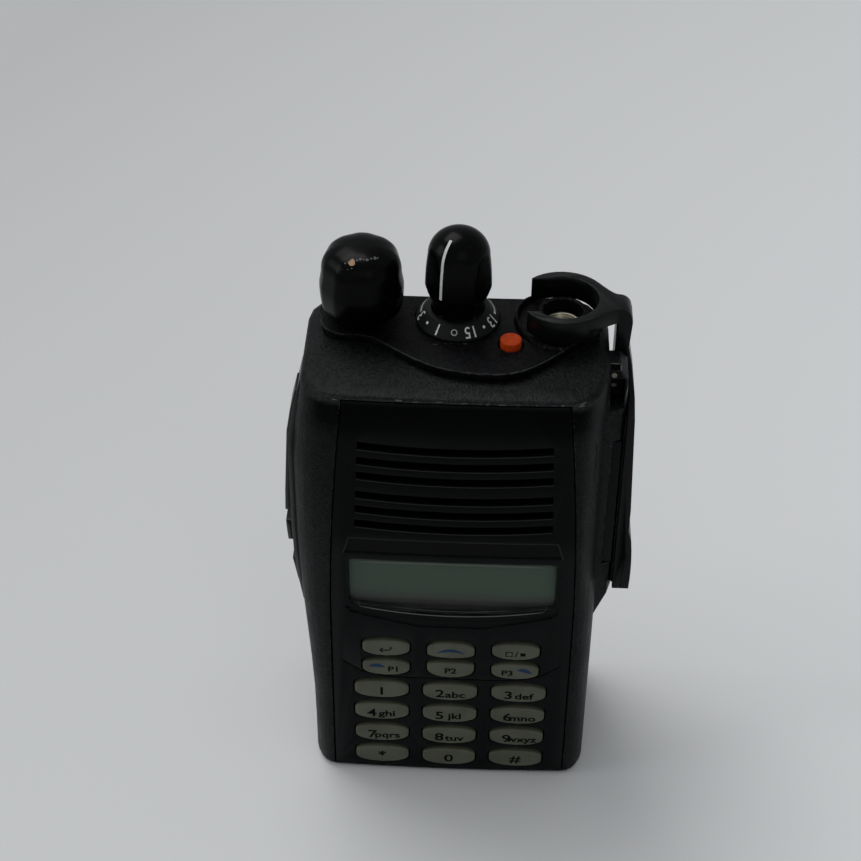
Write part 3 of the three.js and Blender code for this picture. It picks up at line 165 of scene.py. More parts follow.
def bump_of(tree, height, strength, distance, normal=None):
    inputs = {"Strength": strength, "Distance": distance * MM, "Height": height}
    if normal is not None:
        inputs["Normal"] = normal
    return node_of(tree, "Bump", inputs).outputs["Normal"]


def edge_round(tree, radius):
    return node_of(tree, "Bevel", {"Radius": radius * MM}, samples=EDGE_SAMPLES).outputs["Normal"]


def edge_mask(tree, rounded, low, high):
    """Where the rounded normal departs from the face's own, which is along the edges."""
    own = node_of(tree, "NewGeometry", {}).outputs["Normal"]
    product = node_of(tree, "VectorMath", {0: rounded, 1: own}, operation="DOT_PRODUCT")
    return ramp_of(tree, product.outputs["Value"], [(low, 1.0), (high, 0.0)])


def along_of(tree, axis, stops, unit=100):
    """A ramp along an axis of the part, with its stops in millimetres of the CAD between 0 and unit."""
    start = ORIGIN["XYZ".index(axis)]
    share = share_of(tree, axis_of(tree, axis), start, start + unit * MM)
    return ramp_of(tree, share, [(at / unit, value) for at, value in stops])


# Painted shade under the forehead's edge: the front is dark and glossy there, and from there down it is a
# little paler; on the body a painted highlight brightens the forehead's edge itself
PAINTED_LIGHT_STOPS = {
    "panel": [(0.0, 1.0), (60.0, 1.0), (66.0, 0.6), (88.0, 0.6), (91.0, 0.35), (96.2, 0.3), (97.2, 1.0)],
    "body": [
        (0.0, 1.0), (60.0, 1.0), (75.0, 0.8), (89.0, 0.7), (92.0, 0.3), (95.8, 0.25), (96.8, 1.9),
        (97.8, 1.6), (98.6, 1.0),
    ],
}
# How far back from the front the painted light and shade reach, in millimetres
PAINTED_LIGHT_FRONT_STOPS = [(0.0, 1.0), (1.2, 1.0), (3.4, 0.0)]


def painted_light_of(tree, painted_light_zone):
    """Painted light and shade: how much of its colour and gloss the front keeps at each height. Away from the
    front it is all.
    """
    front = along_of(tree, "Y", PAINTED_LIGHT_FRONT_STOPS)
    return mix_of(tree, front, grey(1), along_of(tree, "Z", PAINTED_LIGHT_STOPS[painted_light_zone]))


# What all plastics share: sizes in millimetres, and where on a noise's range each look begins and ends
MOTTLE = {"size": 6, "detail": 5, "roughness": 0.6, "low": 0.3, "high": 0.7, "swing": 0.06}
GRAIN = {"tint_share": 1.7, "detail": 3, "low": 0.35, "high": 0.62, "roughness": 0.65, "depth": 0.2}
SPECKS = {"size": 0.36, "detail": 1, "low": 0.70, "high": 0.78, "colour": (0.12, 0.12, 0.115)}
# Edges worn pale, which also paints a highlight along them
WORN_EDGE_AND_HIGHLIGHT = {"size": 1.6, "detail": 5, "roughness": 0.75, "low": 0.5, "high": 0.64, "flat": 0.9,
             "round": 0.985, "colour": (0.09, 0.09, 0.088)}


def worn_and_highlight_mask(tree, normal, edge_wear_and_highlight):
    """Ragged stretches along the edges, worn pale and painted as highlights."""
    noise = noise_of(tree, WORN_EDGE_AND_HIGHLIGHT["size"], WORN_EDGE_AND_HIGHLIGHT["detail"], WORN_EDGE_AND_HIGHLIGHT["roughness"])
    ragged = ramp_of(tree, noise, [(WORN_EDGE_AND_HIGHLIGHT["low"], 0.0), (WORN_EDGE_AND_HIGHLIGHT["high"], edge_wear_and_highlight)])
    return multiply_of(tree, edge_mask(tree, normal, WORN_EDGE_AND_HIGHLIGHT["flat"], WORN_EDGE_AND_HIGHLIGHT["round"]), ragged)


def plastic(name, colour, roughness, specular=0.2, grain=0.03, grain_size=0.3, specks=0.0, edge=0.2, edge_wear_and_highlight=0.0,
            spread=(0.85, 1.12), painted_light_zone=None):
    """Moulded plastic: mottled roughness, a moulded grain, pale specks, edges worn pale with painted
    highlights, and painted light and shade on the front where a zone is given.
    """
    material, tree, shader = new_material(name)
    mottle = noise_of(tree, MOTTLE["size"], MOTTLE["detail"], MOTTLE["roughness"])
    smooth_end, rough_end = roughness - MOTTLE["swing"], roughness + MOTTLE["swing"]
    rough = ramp_of(tree, mottle, [(MOTTLE["low"], smooth_end), (MOTTLE["high"], rough_end)])
    shade = noise_of(tree, grain_size * GRAIN["tint_share"], GRAIN["detail"])
    dark = tuple(c * spread[0] for c in colour)
    pale = tuple(c * spread[1] for c in colour)
    tint = ramp_of(tree, shade, [(GRAIN["low"], dark), (GRAIN["high"], pale)])
    gloss = specular
    if specks:
        noise = noise_of(tree, SPECKS["size"], SPECKS["detail"])
        dots = ramp_of(tree, noise, [(SPECKS["low"], 0.0), (SPECKS["high"], specks)])
        tint = mix_of(tree, dots, tint, (*SPECKS["colour"], 1))
    # Painted light and shade on the front: colour and gloss are scaled by height
    if painted_light_zone:
        painted_light_factor = painted_light_of(tree, painted_light_zone)
        tint = scaled_colour(tree, painted_light_factor, tint)
        gloss = scaled_colour(tree, painted_light_factor, grey(specular))
    normal = edge_round(tree, edge) if edge else None
    if edge_wear_and_highlight:
        tint = mix_of(tree, worn_and_highlight_mask(tree, normal, edge_wear_and_highlight), tint, (*WORN_EDGE_AND_HIGHLIGHT["colour"], 1))
    texture = noise_of(tree, grain_size, GRAIN["detail"], GRAIN["roughness"])
    bump = bump_of(tree, texture, grain, GRAIN["depth"], normal)
    feed(tree, shader, {"Base Color": tint, "Roughness": rough, "Specular IOR Level": gloss, "Normal": bump})
    return material


BRUSHED = {"detail": 4, "low": 0.3, "high": 0.7, "smooth_share": 0.7, "rough_share": 1.4, "bump": 0.15,
           "depth": 0.05, "edge": 0.1}
BRUSHED_TINT = {"low": 0.2, "high": 0.8, "dark_share": 0.8}


def metal(name, colour, roughness, brush=0.25):
    """Metal with fine brush marks, whose size is brush."""
    material, tree, shader = new_material(name)
    texture = noise_of(tree, brush, BRUSHED["detail"])
    smooth_end, rough_end = roughness * BRUSHED["smooth_share"], roughness * BRUSHED["rough_share"]
    rough = ramp_of(tree, texture, [(BRUSHED["low"], smooth_end), (BRUSHED["high"], rough_end)])
    dark = tuple(c * BRUSHED_TINT["dark_share"] for c in colour)
    tint = ramp_of(tree, texture, [(BRUSHED_TINT["low"], dark), (BRUSHED_TINT["high"], colour)])
    bump = bump_of(tree, texture, BRUSHED["bump"], BRUSHED["depth"], edge_round(tree, BRUSHED["edge"]))
    feed(tree, shader, {"Metallic": 1, "Base Color": tint, "Roughness": rough, "Normal": bump})
    return material


PRINT_AND_PAINTED_LIGHT = {"size": 0.4, "detail": 2, "low": 0.3, "high": 0.6, "dark_share": 0.8}


def print_and_painted_light(name, colour, roughness=0.5, specular=0.12):
    """Printed colour, a little uneven where it has worn; the same flat colour also paints highlights, glints
    and shade.
    """
    material, tree, shader = new_material(name)
    patch = noise_of(tree, PRINT_AND_PAINTED_LIGHT["size"], PRINT_AND_PAINTED_LIGHT["detail"])
    dark = tuple(c * PRINT_AND_PAINTED_LIGHT["dark_share"] for c in colour)
    tint = ramp_of(tree, patch, [(PRINT_AND_PAINTED_LIGHT["low"], dark), (PRINT_AND_PAINTED_LIGHT["high"], colour)])
    feed(tree, shader, {"Base Color": tint, "Roughness": roughness, "Specular IOR Level": specular})
    return material


# Plastics and rubber
body_black = plastic("body_black", (0.0026, 0.003, 0.0031), 0.42, 0.09, grain=1.0, grain_size=0.5,
                     specks=0.12, edge=0.35, edge_wear_and_highlight=0.7, spread=(0.35, 2.2), painted_light_zone="body")
panel_black = plastic("panel_black", (0.0024, 0.003, 0.0032), 0.38, 0.07, grain=0.06, grain_size=0.5,
                      specks=0.05, edge=0.2, edge_wear_and_highlight=0.25, painted_light_zone="panel")
deck_black = plastic("deck_black", (0.0014, 0.0015, 0.0018), 0.38, 0.045, grain=0.8, grain_size=0.45,
                     specks=0.1, edge=0.4, edge_wear_and_highlight=0.8, spread=(0.4, 2.2))
dial_black = plastic("dial_black", (0.006, 0.0066, 0.0062), 0.5, 0.1, grain=0.5, grain_size=0.3, edge=0.1)
knob_black = plastic("knob_black", (0.0009, 0.001, 0.0011), 0.24, 0.06, grain=0.03, grain_size=0.6,
                     specks=0.04, edge=0.2, edge_wear_and_highlight=0.5)
rubber_black = plastic("rubber_black", (0.0022, 0.0025, 0.0026), 0.3, 0.13, grain=0.12, grain_size=0.3,
                       specks=0.05, edge=0.3, edge_wear_and_highlight=0.4)
key_green = plastic("key_green", (0.068, 0.073, 0.050), 0.36, 0.25, grain=0.02, grain_size=3, edge=0)
orange = plastic("orange", (0.36, 0.036, 0.004), 0.5, 0.08, grain=0.08, grain_size=0.5, edge=0.1)
pale_plastic = plastic("pale_plastic", (0.3, 0.28, 0.22), 0.5, 0.4, grain=0.05, edge=0.1)
dark_plastic = plastic("dark_plastic", (0.012, 0.012, 0.012), 0.5, 0.2, grain=0.05, edge=0.1)
circuit_green = plastic("circuit_green", (0.01, 0.05, 0.025), 0.35, 0.4, grain=0.05, edge=0.1)
cell_blue = plastic("cell_blue", (0.03, 0.06, 0.1), 0.35, 0.4, grain=0.05, edge=0.1)
cloth_black = plastic("cloth_black", (0.002, 0.002, 0.002), 0.95, 0.05, grain=0.8, grain_size=0.25, edge=0)
cone_film = plastic("cone_film", (0.02, 0.018, 0.016), 0.6, 0.3, grain=0.1, edge=0)
lcd_band = plastic("lcd_band", (0.026, 0.022, 0.023), 0.5, 0.1, grain=0.01, grain_size=2, edge=0)
chip_tan = plastic("chip_tan", (0.30, 0.20, 0.13), 0.8, 0.1, grain=0.3, grain_size=0.3, edge=0)

# Metals
brass = metal("brass", (0.62, 0.52, 0.3), 0.3)
pale_brass = metal("pale_brass", (0.62, 0.58, 0.46), 0.32, brush=0.15)
steel = metal("steel", (0.5, 0.5, 0.51), 0.35)
cast_metal = metal("cast_metal", (0.42, 0.42, 0.43), 0.6, brush=0.5)
bushing_dark = metal("bushing_dark", (0.06, 0.06, 0.062), 0.45)

# Prints, painted glints and highlights, dark sheets and worn marks
ink_black = print_and_painted_light("ink_black", (0.002, 0.002, 0.002), specular=0.03)
ink_white = print_and_painted_light("ink_white", (0.55, 0.56, 0.56))
ink_grey = print_and_painted_light("ink_grey", (0.30, 0.31, 0.31))
ink_blue = print_and_painted_light("ink_blue", (0.010, 0.032, 0.075))
# Painted highlights and glints on the lens, the slot lips and the band above the display
glint = print_and_painted_light("glint", (0.13, 0.13, 0.12), 0.3)
glint_grey = print_and_painted_light("glint_grey", (0.06, 0.058, 0.056), 0.3)
# Dark glossy sheets: painted shade in the hood's recess and below the display, and the dark band above the
# display
gloss_black = print_and_painted_light("gloss_black", (0.0012, 0.0014, 0.0015), 0.25, specular=0.06)
faint_glint = print_and_painted_light("faint_glint", (0.011, 0.012, 0.012), 0.3)
# Pale wear, which also paints highlights on the hood's rim and the forehead's edge
pale_wear_and_highlight = print_and_painted_light("pale_wear_and_highlight", (0.085, 0.088, 0.085), 0.5)
pad_dull = print_and_painted_light("pad_dull", (0.15, 0.14, 0.11), 0.5)
# Painted highlights along edges and on bumps; also the dull flecks of wear and highlight on the forehead's
# edge
highlight_and_wear_grey = print_and_painted_light("highlight_and_wear_grey", (0.022, 0.024, 0.024), 0.4)


# The lit part of the display: how its colour changes from its foot up
LCD_STOPS = [(0.0, (0.040, 0.038, 0.037)), (0.1, (0.066, 0.070, 0.064)), (0.24, (0.062, 0.092, 0.068))]
LCD_LOOK = {"Roughness": 0.5, "Specular IOR Level": 0.1}


def make_display_material():
    material, tree, shader = new_material("lcd_green")
    tint = ramp_of(tree, axis_of(tree, "Z", "Generated"), LCD_STOPS)
    feed(tree, shader, {"Base Color": tint, **LCD_LOOK})
    return material


lcd_green = make_display_material()

# The clear lens, a little smudged
LENS = {"smudge": 5, "detail": 4, "edge": 0.2}
LENS_LOOK = {"Base Color": (0.05, 0.055, 0.052, 1), "Alpha": 0.1, "Specular IOR Level": 0.25}
LENS_STOPS = [(0.35, 0.08), (0.7, 0.11)]


def make_lens_material():
    material, tree, shader = new_material("lens_clear")
    smudge = noise_of(tree, LENS["smudge"], LENS["detail"])
    feed(tree, shader, {"Roughness": ramp_of(tree, smudge, LENS_STOPS), **LENS_LOOK})
    return material


lens_clear = make_lens_material()

# Which material each slot of the part wears
SLOT_MATERIALS = {
    "housing": body_black,
    "panel": panel_black,
    "knob": knob_black,
    "key": key_green,
    "lens": lens_clear,
    "rubber": rubber_black,
    "brass": brass,
    "steel": steel,
    "cast": cast_metal,
    "circuit": circuit_green,
    "orange": orange,
    "insulator": pale_plastic,
    "cell": cell_blue,
    "cloth": cloth_black,
    "cone": cone_film,
}
slot_of = {part["node"]: part["material_slot"] for part in frame["record"]["subparts"]}
body_of = {n: body for body, members in frame["record"]["behaviour"]["bodies"].items() for n in members}


def dress_nodes():
    for name, node in nodes.items():
        node.data.materials.clear()
        node.data.materials.append(SLOT_MATERIALS[slot_of[name]])


# Pieces
def new_object(name, mesh, body, material):
    piece = bpy.data.objects.new(name, mesh)
    bpy.context.scene.collection.objects.link(piece)
    mesh.materials.clear()
    mesh.materials.append(material)
    if body:
        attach(piece, body)
    return piece


def faces_object(name, points, faces, body, material):
    mesh = bpy.data.meshes.new(name)
    mesh.from_pydata(points, [], faces)
    return new_object(name, mesh, body, material)


def strip_faces(count):
    """The faces between pairs of points that follow each other."""
    return [(2 * i, 2 * i + 1, 2 * i + 3, 2 * i + 2) for i in range(count)]


def smooth(mesh, sharp):
    mesh.shade_smooth()
    mesh.set_sharp_from_angle(angle=math.radians(sharp))


def ring_skin(name, rings, body, material, capped=(True, True), sharp=35):
    """A closed skin over rings that all hold the same number of points."""
    count = len(rings[0])
    vertices = [point for ring in rings for point in ring]
    faces = []
    for level in range(len(rings) - 1):
        for i in range(count):
            a = level * count + i
            b = level * count + (i + 1) % count
            faces.append((a, b, b + count, a + count))
    ends = ((capped[0], rings[0], 0, -1), (capped[1], rings[-1], len(rings) - 1, 1))
    for has_cap, ring, start, step in ends:
        if not has_cap:
            continue
        centre = len(vertices)
        vertices.append(sum(ring, Vector()) / count)
        for i in range(count):
            pair = (start * count + i, start * count + (i + 1) % count)
            faces.append((*pair[::step], centre))
    mesh = bpy.data.meshes.new(name)
    mesh.from_pydata(vertices, [], faces)
    fix_normals(mesh)
    smooth(mesh, sharp)
    return new_object(name, mesh, body, material)


def fix_normals(mesh):
    shape = bmesh.new()
    shape.from_mesh(mesh)
    bmesh.ops.recalc_face_normals(shape, faces=shape.faces)
    shape.to_mesh(mesh)
    shape.free()


def round_place(middle, radius, angle, z):
    """A place on a circle round a middle, at a height."""
    x = middle["x"] + radius * math.cos(angle)
    y = middle["y"] + radius * math.sin(angle)
    return place(x, y, z)


def turned(name, profile, middle, body, material, around=96, sharp=35):
    """A turned piece whose profile of (radius, height) closes on itself or on its ends' caps."""
    is_open = profile[0] != profile[-1]
    angles = [2 * math.pi * i / around for i in range(around)]
    rings = [[round_place(middle, radius, angle, z) for angle in angles] for radius, z in profile]
    return ring_skin(name, rings, body, material, capped=(is_open, is_open), sharp=sharp)


def upright_bar(name, bar, body, side=1):
    """A dark bar between two places across, two in depth and two heights."""
    left, right = bar["across"]
    front, back = bar["depth"]
    corners = [(left, front), (right, front), (right, back), (left, back)]
    rings = [[place(side * x, y, z) for x, y in corners] for z in bar["height"]]
    ring_skin(name, rings, body, rubber_black)


def apply_modifiers(piece):
    graph = bpy.context.evaluated_depsgraph_get()
    mesh = bpy.data.meshes.new_from_object(piece.evaluated_get(graph))
    piece.modifiers.clear()
    piece.data = mesh


def cutter_across(name, outline, front, back):
    """A prism over an outline of (x, z) that reaches from front to back."""
    rings = [[place(x, y, z) for x, z in outline] for y in (front, back)]
    return ring_skin(name, rings, None, rubber_black)


# Softened copies: how near points merge, and within how many degrees flat facets do
MERGE = {"gap": 1e-6, "angle": 1}
# Nodes whose flat faces hold grooves or openings, so their facets stay apart
GROOVED_NODES = ("battery_case", "front_housing")


def soften(name, node, bevel, segments=2, sharp=40, material=None, shape_step=None, cutter=None):
    """A copy of a CAD node with merged facets, rounded edges and smooth faces, shown in its place."""
    shape = bmesh.new()
    shape.from_mesh(nodes[node].data)
    bmesh.ops.remove_doubles(shape, verts=shape.verts, dist=MERGE["gap"])
    if node not in GROOVED_NODES:
        limit = math.radians(MERGE["angle"])
        bmesh.ops.dissolve_limit(shape, angle_limit=limit, verts=shape.verts, edges=shape.edges)
    if shape_step:
        shape_step(shape)
    mesh = bpy.data.meshes.new(name)
    shape.to_mesh(mesh)
    shape.free()
    for layer in ("custom_normal", "sharp_edge", "sharp_face"):
        if layer in mesh.attributes:
            mesh.attributes.remove(mesh.attributes[layer])
    piece = new_object(name, mesh, None, material or SLOT_MATERIALS[slot_of[node]])
    if cutter:
        cut = piece.modifiers.new("cut", "BOOLEAN")
        cut.operation = "DIFFERENCE"
        cut.object = cutter
    if bevel:
        edge = piece.modifiers.new("edge", "BEVEL")
        edge.width = bevel * MM
        edge.segments = segments
        edge.limit_method = "ANGLE"
        edge.angle_limit = math.radians(sharp)
        edge.miter_outer = "MITER_ARC"
    apply_modifiers(piece)
    if cutter:
        bpy.data.objects.remove(cutter)
    smooth(piece.data, sharp)
    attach(piece, body_of[node])
    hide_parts(node)
    return piece


# Marks: flat words and strokes that are laid on a surface, a small lift above it
LIFT = 0.02
FONT_STEPS = 3
SHARES = [k / 20 - 1 for k in range(41)]
# Rays that look for a surface start this far in front of, above or beside the middle
PROBE = {"front": 20, "above": 5, "beside": 60}
# A sum that looks unordered
UNSTEADY = {"step": 12.9898, "seed": 78.233, "spread": 43758.5453}


def unsteady(i, seed):
    """A share between 0 and 1 that looks unordered but is the same in every run."""
    wave = abs(math.sin(i * UNSTEADY["step"] + seed * UNSTEADY["seed"]))
    return math.modf(wave * UNSTEADY["spread"])[0]


def close_to(value, target, slack=0.06):
    return abs(value - target) < slack


def words_mesh(words, size, stretch=1.0, weight=0.0):
    """Words as flat faces: a list of (u, v) points in millimetres and a list of faces."""
    curve = bpy.data.curves.new("words", "FONT")
    curve.body = words
    curve.align_x = "CENTER"
    curve.align_y = "CENTER"
    curve.size = size
    curve.resolution_u = FONT_STEPS
    curve.offset = weight
    writer = bpy.data.objects.new("words", curve)
    bpy.context.scene.collection.objects.link(writer)
    graph = bpy.context.evaluated_depsgraph_get()
    mesh = bpy.data.meshes.new_from_object(writer.evaluated_get(graph))
    points = [(vertex.co.x * stretch, vertex.co.y) for vertex in mesh.vertices]
    faces = [tuple(polygon.vertices) for polygon in mesh.polygons]
    bpy.data.objects.remove(writer)
    bpy.data.curves.remove(curve)
    bpy.data.meshes.remove(mesh)
    return points, faces


def stroke_mesh(line, widths):
    """A ribbon along a line of (u, v) points, with a width at each point."""
    points = []
    for i, (u, v) in enumerate(line):
        before = line[max(0, i - 1)]
        after = line[min(len(line) - 1, i + 1)]
        along = Vector((after[0] - before[0], after[1] - before[1])).normalized()
        half = widths[i] / 2
        points += [(u - along.y * half, v + along.x * half), (u + along.y * half, v - along.x * half)]
    return points, strip_faces(len(line) - 1)


def even_stroke(line, width):
    return stroke_mesh(line, [width] * len(line))


def disc(half, tall, count=16):
    """A flat round or oval face."""
    angles = [2 * math.pi * k / count for k in range(count)]
    return [(half * math.cos(angle), tall * math.sin(angle)) for angle in angles], [tuple(range(count))]


def dense(line, step=0.8):
    """A line with points no farther apart than about a step."""
    points = []
    for (u0, v0), (u1, v1) in zip(line, line[1:]):
        count = max(1, round(math.hypot(u1 - u0, v1 - v0) / step))
        points += [(u0 + (u1 - u0) * i / count, v0 + (v1 - v0) * i / count) for i in range(count)]
    return points + [line[-1]]


def shifted(flat, across, up):
    """Flat points and faces, moved."""
    points, faces = flat
    return [(u + across, v + up) for u, v in points], faces


def joined(flats):
    """Several sets of flat points and faces as one."""
    points, faces = [], []
    for more_points, more_faces in flats:
        faces += [tuple(k + len(points) for k in face) for face in more_faces]
        points += more_points
    return points, faces


def lay(name, flat, surface, body, material):
    """Lays flat points on a surface, which gives a place for each (u, v)."""
    points, faces = flat
    return faces_object(name, [surface(u, v) for u, v in points], faces, body, material)


def tree_over(piece):
    """What rays search to find a piece's surface."""
    shape = bmesh.new()
    shape.from_mesh(piece.data)
    tree = BVHTree.FromBMesh(shape)
    shape.free()
    return tree


def on_front_of(piece, x, z):
    """The place on a piece's front, in front of (x, z) plus (u, v)."""
    tree = tree_over(piece)
    inverse = piece.matrix_world.inverted()

    def surface(u, v):
        start = inverse @ place(x + u, -PROBE["front"], z + v)
        hit = tree.ray_cast(start, Vector((0, 1, 0)))[0]
        reached = piece.matrix_world @ hit if hit else place(x + u, 0, z + v)
        return reached - Vector((0, LIFT, 0)) * MM
    return surface


def lifted(surface):
    """The same surface, one lift farther to the front."""
    def above(u, v):
        return surface(u, v) - Vector((0, LIFT, 0)) * MM
    return above


def sheet_between(name, surface, columns, rows=6):
    """A dark glossy sheet laid on a surface between two lines, given as columns of (u, v, u, v). It also
    serves as painted shade in recesses.
    """
    points = []
    for u0, v0, u1, v1 in columns:
        points += [(u0 + (u1 - u0) * k / rows, v0 + (v1 - v0) * k / rows) for k in range(rows + 1)]
    faces = []
    for i in range(len(columns) - 1):
        for k in range(rows):
            a = i * (rows + 1) + k
            faces.append((a, a + rows + 1, a + rows + 2, a + 1))
    lay(name, (points, faces), surface, "radio", gloss_black)


def even_columns(left, right, low, high, count=8):
    """Columns from low to high, evenly spread from left to right."""
    places = [left + (right - left) * k / count for k in range(count + 1)]
    return [(u, low, u, high) for u in places]


# Keys: barrel shaped caps with a domed face, as (inset, rise) from the rim inward
CAP_FOOT = 1.9
CAP_STEPS = [(0, -0.1), (0.03, 0.1), (0.12, 0.25), (0.3, 0.33), (0.8, 0.38), (1.6, 0.4)]
HEAD_GAP = 0.75
# How far down a cap is widest, as a share of its height
HALFWAY_SHARE = 0.5
WIDEST_SHARES = {"nav_upper_middle": KEY["dome_share"], "nav_lower_middle": 1 - KEY["dome_share"]}


def key_outline(key, inset):
    points = []
    for i in range(KEY["points"]):
        angle = (2 * i / KEY["points"] + 0.5) * math.pi
        power = 2 / KEY["power"]
        c, s = math.cos(angle), math.sin(angle)
        across = math.copysign(abs(c) ** power, c)
        up = math.copysign(abs(s) ** power, s)
        reach = (key["above"] if s > 0 else key["below"]) * (1 - KEY["end_share"] * across * across)
        scale = max(KEY["least_share"], 1 - inset / reach)
        points.append((key["x"] + across * (key["half"] - inset), key["z"] + up * reach * scale))
    return points


def key_of(node):
    low, high = local_box(node)
    share = WIDEST_SHARES.get(node, HALFWAY_SHARE)
    height = high.z - low.z
    return {
        "x": (low.x + high.x) / 2,
        "z": high.z - height * share,
        "half": (high.x - low.x) / 2 - KEY["ear"],
        "above": height * share - HEAD_GAP,
        "below": height * (1 - share),
        "face": low.y + KEY["proud"],
    }


def make_key(node):
    key = key_of(node)
    rings = [[place(x, CAP_FOOT, z) for x, z in key_outline(key, 0)]]
    for inset, rise in CAP_STEPS:
        rings.append([place(x, key["face"] - rise, z) for x, z in key_outline(key, inset)])
    cap = ring_skin(node + "_cap", rings, body_of[node], key_green)
    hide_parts(node)
    return cap, key


# Legends of the number keys, in millimetres
LETTERS = {"2": "abc", "3": "def", "4": "ghi", "5": "jkl", "6": "mno", "7": "pqrs", "8": "tuv", "9": "wxyz"}
SYMBOLS = {"star": "*", "0": "0", "hash": "#", "1": "1"}
LEGEND = {"digit": 3.05, "letter": 2.35, "foot": -1.75, "digit_left": 2.0, "letter_right": 1.05,
          "stretch": 1.25, "weight": 0.06, "star_drop": -0.6, "tail_drop": 0.4}
TAILED_LETTERS = "gjpqy"


def arc_line(start, end, bow, count=12):
    """Points on a bowed line between two points."""
    line = []
    for i in range(count + 1):
        t = i / count
        across = start[0] + (end[0] - start[0]) * t
        up = start[1] + (end[1] - start[1]) * t + bow * 4 * t * (1 - t)
        line.append((across, up))
    return line


def swoosh(start, end, bow, width):
    line = arc_line(start, end, bow)
    widths = [width * math.sin(math.pi * (i + 0.5) / len(line)) for i in range(len(line))]
    return stroke_mesh(line, widths)


# Navigation marks: generic signs, each as an ink and a flat shape
NAV_WORDS = {"size": 2.0, "stretch": 1.2, "weight": 0.05}


def nav_words(text):
    return words_mesh(text, NAV_WORDS["size"], NAV_WORDS["stretch"], NAV_WORDS["weight"])


NAV_MARKS = {
    "nav_upper_left": [
        ("black", even_stroke([(-0.6, 0.5), (-1.2, -0.1), (-0.6, -0.7)], 0.28)),
        ("black", even_stroke([(-1.1, -0.1), (0.5, -0.1), (1.0, 0.3), (0.9, 0.9)], 0.28)),
    ],
    "nav_upper_middle": [("blue", swoosh((-2.6, -0.9), (2.6, -0.9), 0.75, 0.8))],
    "nav_upper_right": [
        ("black", even_stroke([(-1.9, 0.5), (-0.7, 0.5), (-0.7, -0.7), (-1.9, -0.7), (-1.9, 0.5)], 0.25)),
        ("black", even_stroke([(0.4, 0.7), (-0.1, -0.8)], 0.22)),
        ("black", even_stroke(arc_line((0.9, -0.1), (1.9, -0.1), 0.01), 0.9)),
    ],
    "nav_lower_left": [("blue", swoosh((-3.4, 0.1), (-0.2, -0.1), 0.35, 1.0)), ("black", nav_words("P1"))],
    "nav_lower_middle": [("black", nav_words("P2"))],
    "nav_lower_right": [("blue", swoosh((3.4, -0.6), (0.4, 0.3), 0.35, 1.0)), ("black", nav_words("P3"))],
}
# How far the black marks stand off the middle of their key
NAV_DROP = (0, -0.65)
NAV_SHIFT = {"nav_lower_left": (1.5, -0.65), "nav_lower_right": (-1.5, -0.65), "nav_lower_middle": (0, -0.45)}
INKS = {"black": ink_black, "blue": ink_blue}


def make_nav_marks(node, face):
    for i, (colour, flat) in enumerate(NAV_MARKS[node]):
        shift = NAV_SHIFT.get(node, NAV_DROP) if colour == "black" else (0, 0)
        lay(f"{node}_mark_{i}", shifted(flat, *shift), face, body_of[node], INKS[colour])


def make_number_marks(node, face):
    name = node.removeprefix("key_")
    marks = []
    if name in SYMBOLS:
        marks.append((SYMBOLS[name], LEGEND["digit"], 0))
    else:
        marks.append((name, LEGEND["digit"], -LEGEND["digit_left"]))
        marks.append((LETTERS[name], LEGEND["letter"], LEGEND["letter_right"]))
    for i, (text, size, across) in enumerate(marks):
        flat = words_mesh(text, size, LEGEND["stretch"], LEGEND["weight"])
        bottom = min(v for u, v in flat[0])
        drop = LEGEND["foot"] - bottom if name != "star" else LEGEND["star_drop"]
        if len(text) > 1 and any(letter in text for letter in TAILED_LETTERS):
            drop -= LEGEND["tail_drop"]
        lay(f"{node}_legend_{i}", shifted(flat, across, drop), face, body_of[node], ink_black)


def make_legends(node, cap, key):
    low, high = local_box(node)
    face = on_front_of(cap, key["x"], (low.z + high.z) / 2)
    if node in NAV_MARKS:
        make_nav_marks(node, face)
    else:
        make_number_marks(node, face)


def make_keypad():
    for node in nodes:
        if node.startswith(("key_", "nav_")):
            cap, key = make_key(node)
            make_legends(node, cap, key)


# Knobs: turned forms with flats, as in the solids but with fine steps
VOLUME = {
    "node": "volume_knob", "x": -17.85, "y": 22.3, "height": 14, "waist": 7.3, "dome": 5.5, "power": 2.6,
    "flats": 7, "share": 0.968, "around": 210,
}
CHANNEL = {
    "node": "channel_knob", "x": -0.4, "y": 22.1, "height": 16.2, "waist": 5.6, "dome": 5, "power": 2,
    "flats": 6, "share": 0.88, "around": 168,
}
# Lower profiles as (radius, rise) with rounded rims
VOLUME_PROFILE = [
    (6.5, 0), (6.7, 0.2), (7.1, 0.9), (7.35, 1.5), (7.5, 2.6), (7.62, 3.8), (7.69, 5.1), (7.66, 6.4),
]
CHANNEL_PROFILE = [
    (4.7, 0), (4.7, 1.95), (5.0, 2.0), (5.12, 2.15), (5.6, 3.3), (5.9, 4.0), (6.02, 4.35), (6.05, 4.6),
    (6.04, 5.2), (5.98, 6.6), (5.9, 8.1), (5.78, 9.6),
]
# Where the domes end on their quarter turn, how soft the flats' corners are, and what angle stays sharp
DOME = {"end_share": 0.97, "steps": 16}
FLAT_BLEND = 0.12
KNOB_SHARP = 50


def dome_of(knob):
    power = 2 / knob["power"]
    points = []
    for i in range(DOME["steps"] + 1):
        angle = DOME["end_share"] * i / DOME["steps"] * math.pi / 2
        radius = knob["waist"] * math.cos(angle) ** power
        points.append((radius, knob["height"] - knob["dome"] * (1 - math.sin(angle) ** power)))
    return points


def smooth_low(a, b, width):
    """The lesser of two lengths, rounded over where they cross."""
    blend = max(width - abs(a - b), 0) / width
    return min(a, b) - blend * blend * width / 4


def knob_reach(knob, radius, angle, flat):
    period = 2 * math.pi / knob["flats"]
    from_flat = abs((angle + math.pi / 2 + period / 2) % period - period / 2)
    return smooth_low(radius, flat / math.cos(from_flat), FLAT_BLEND)


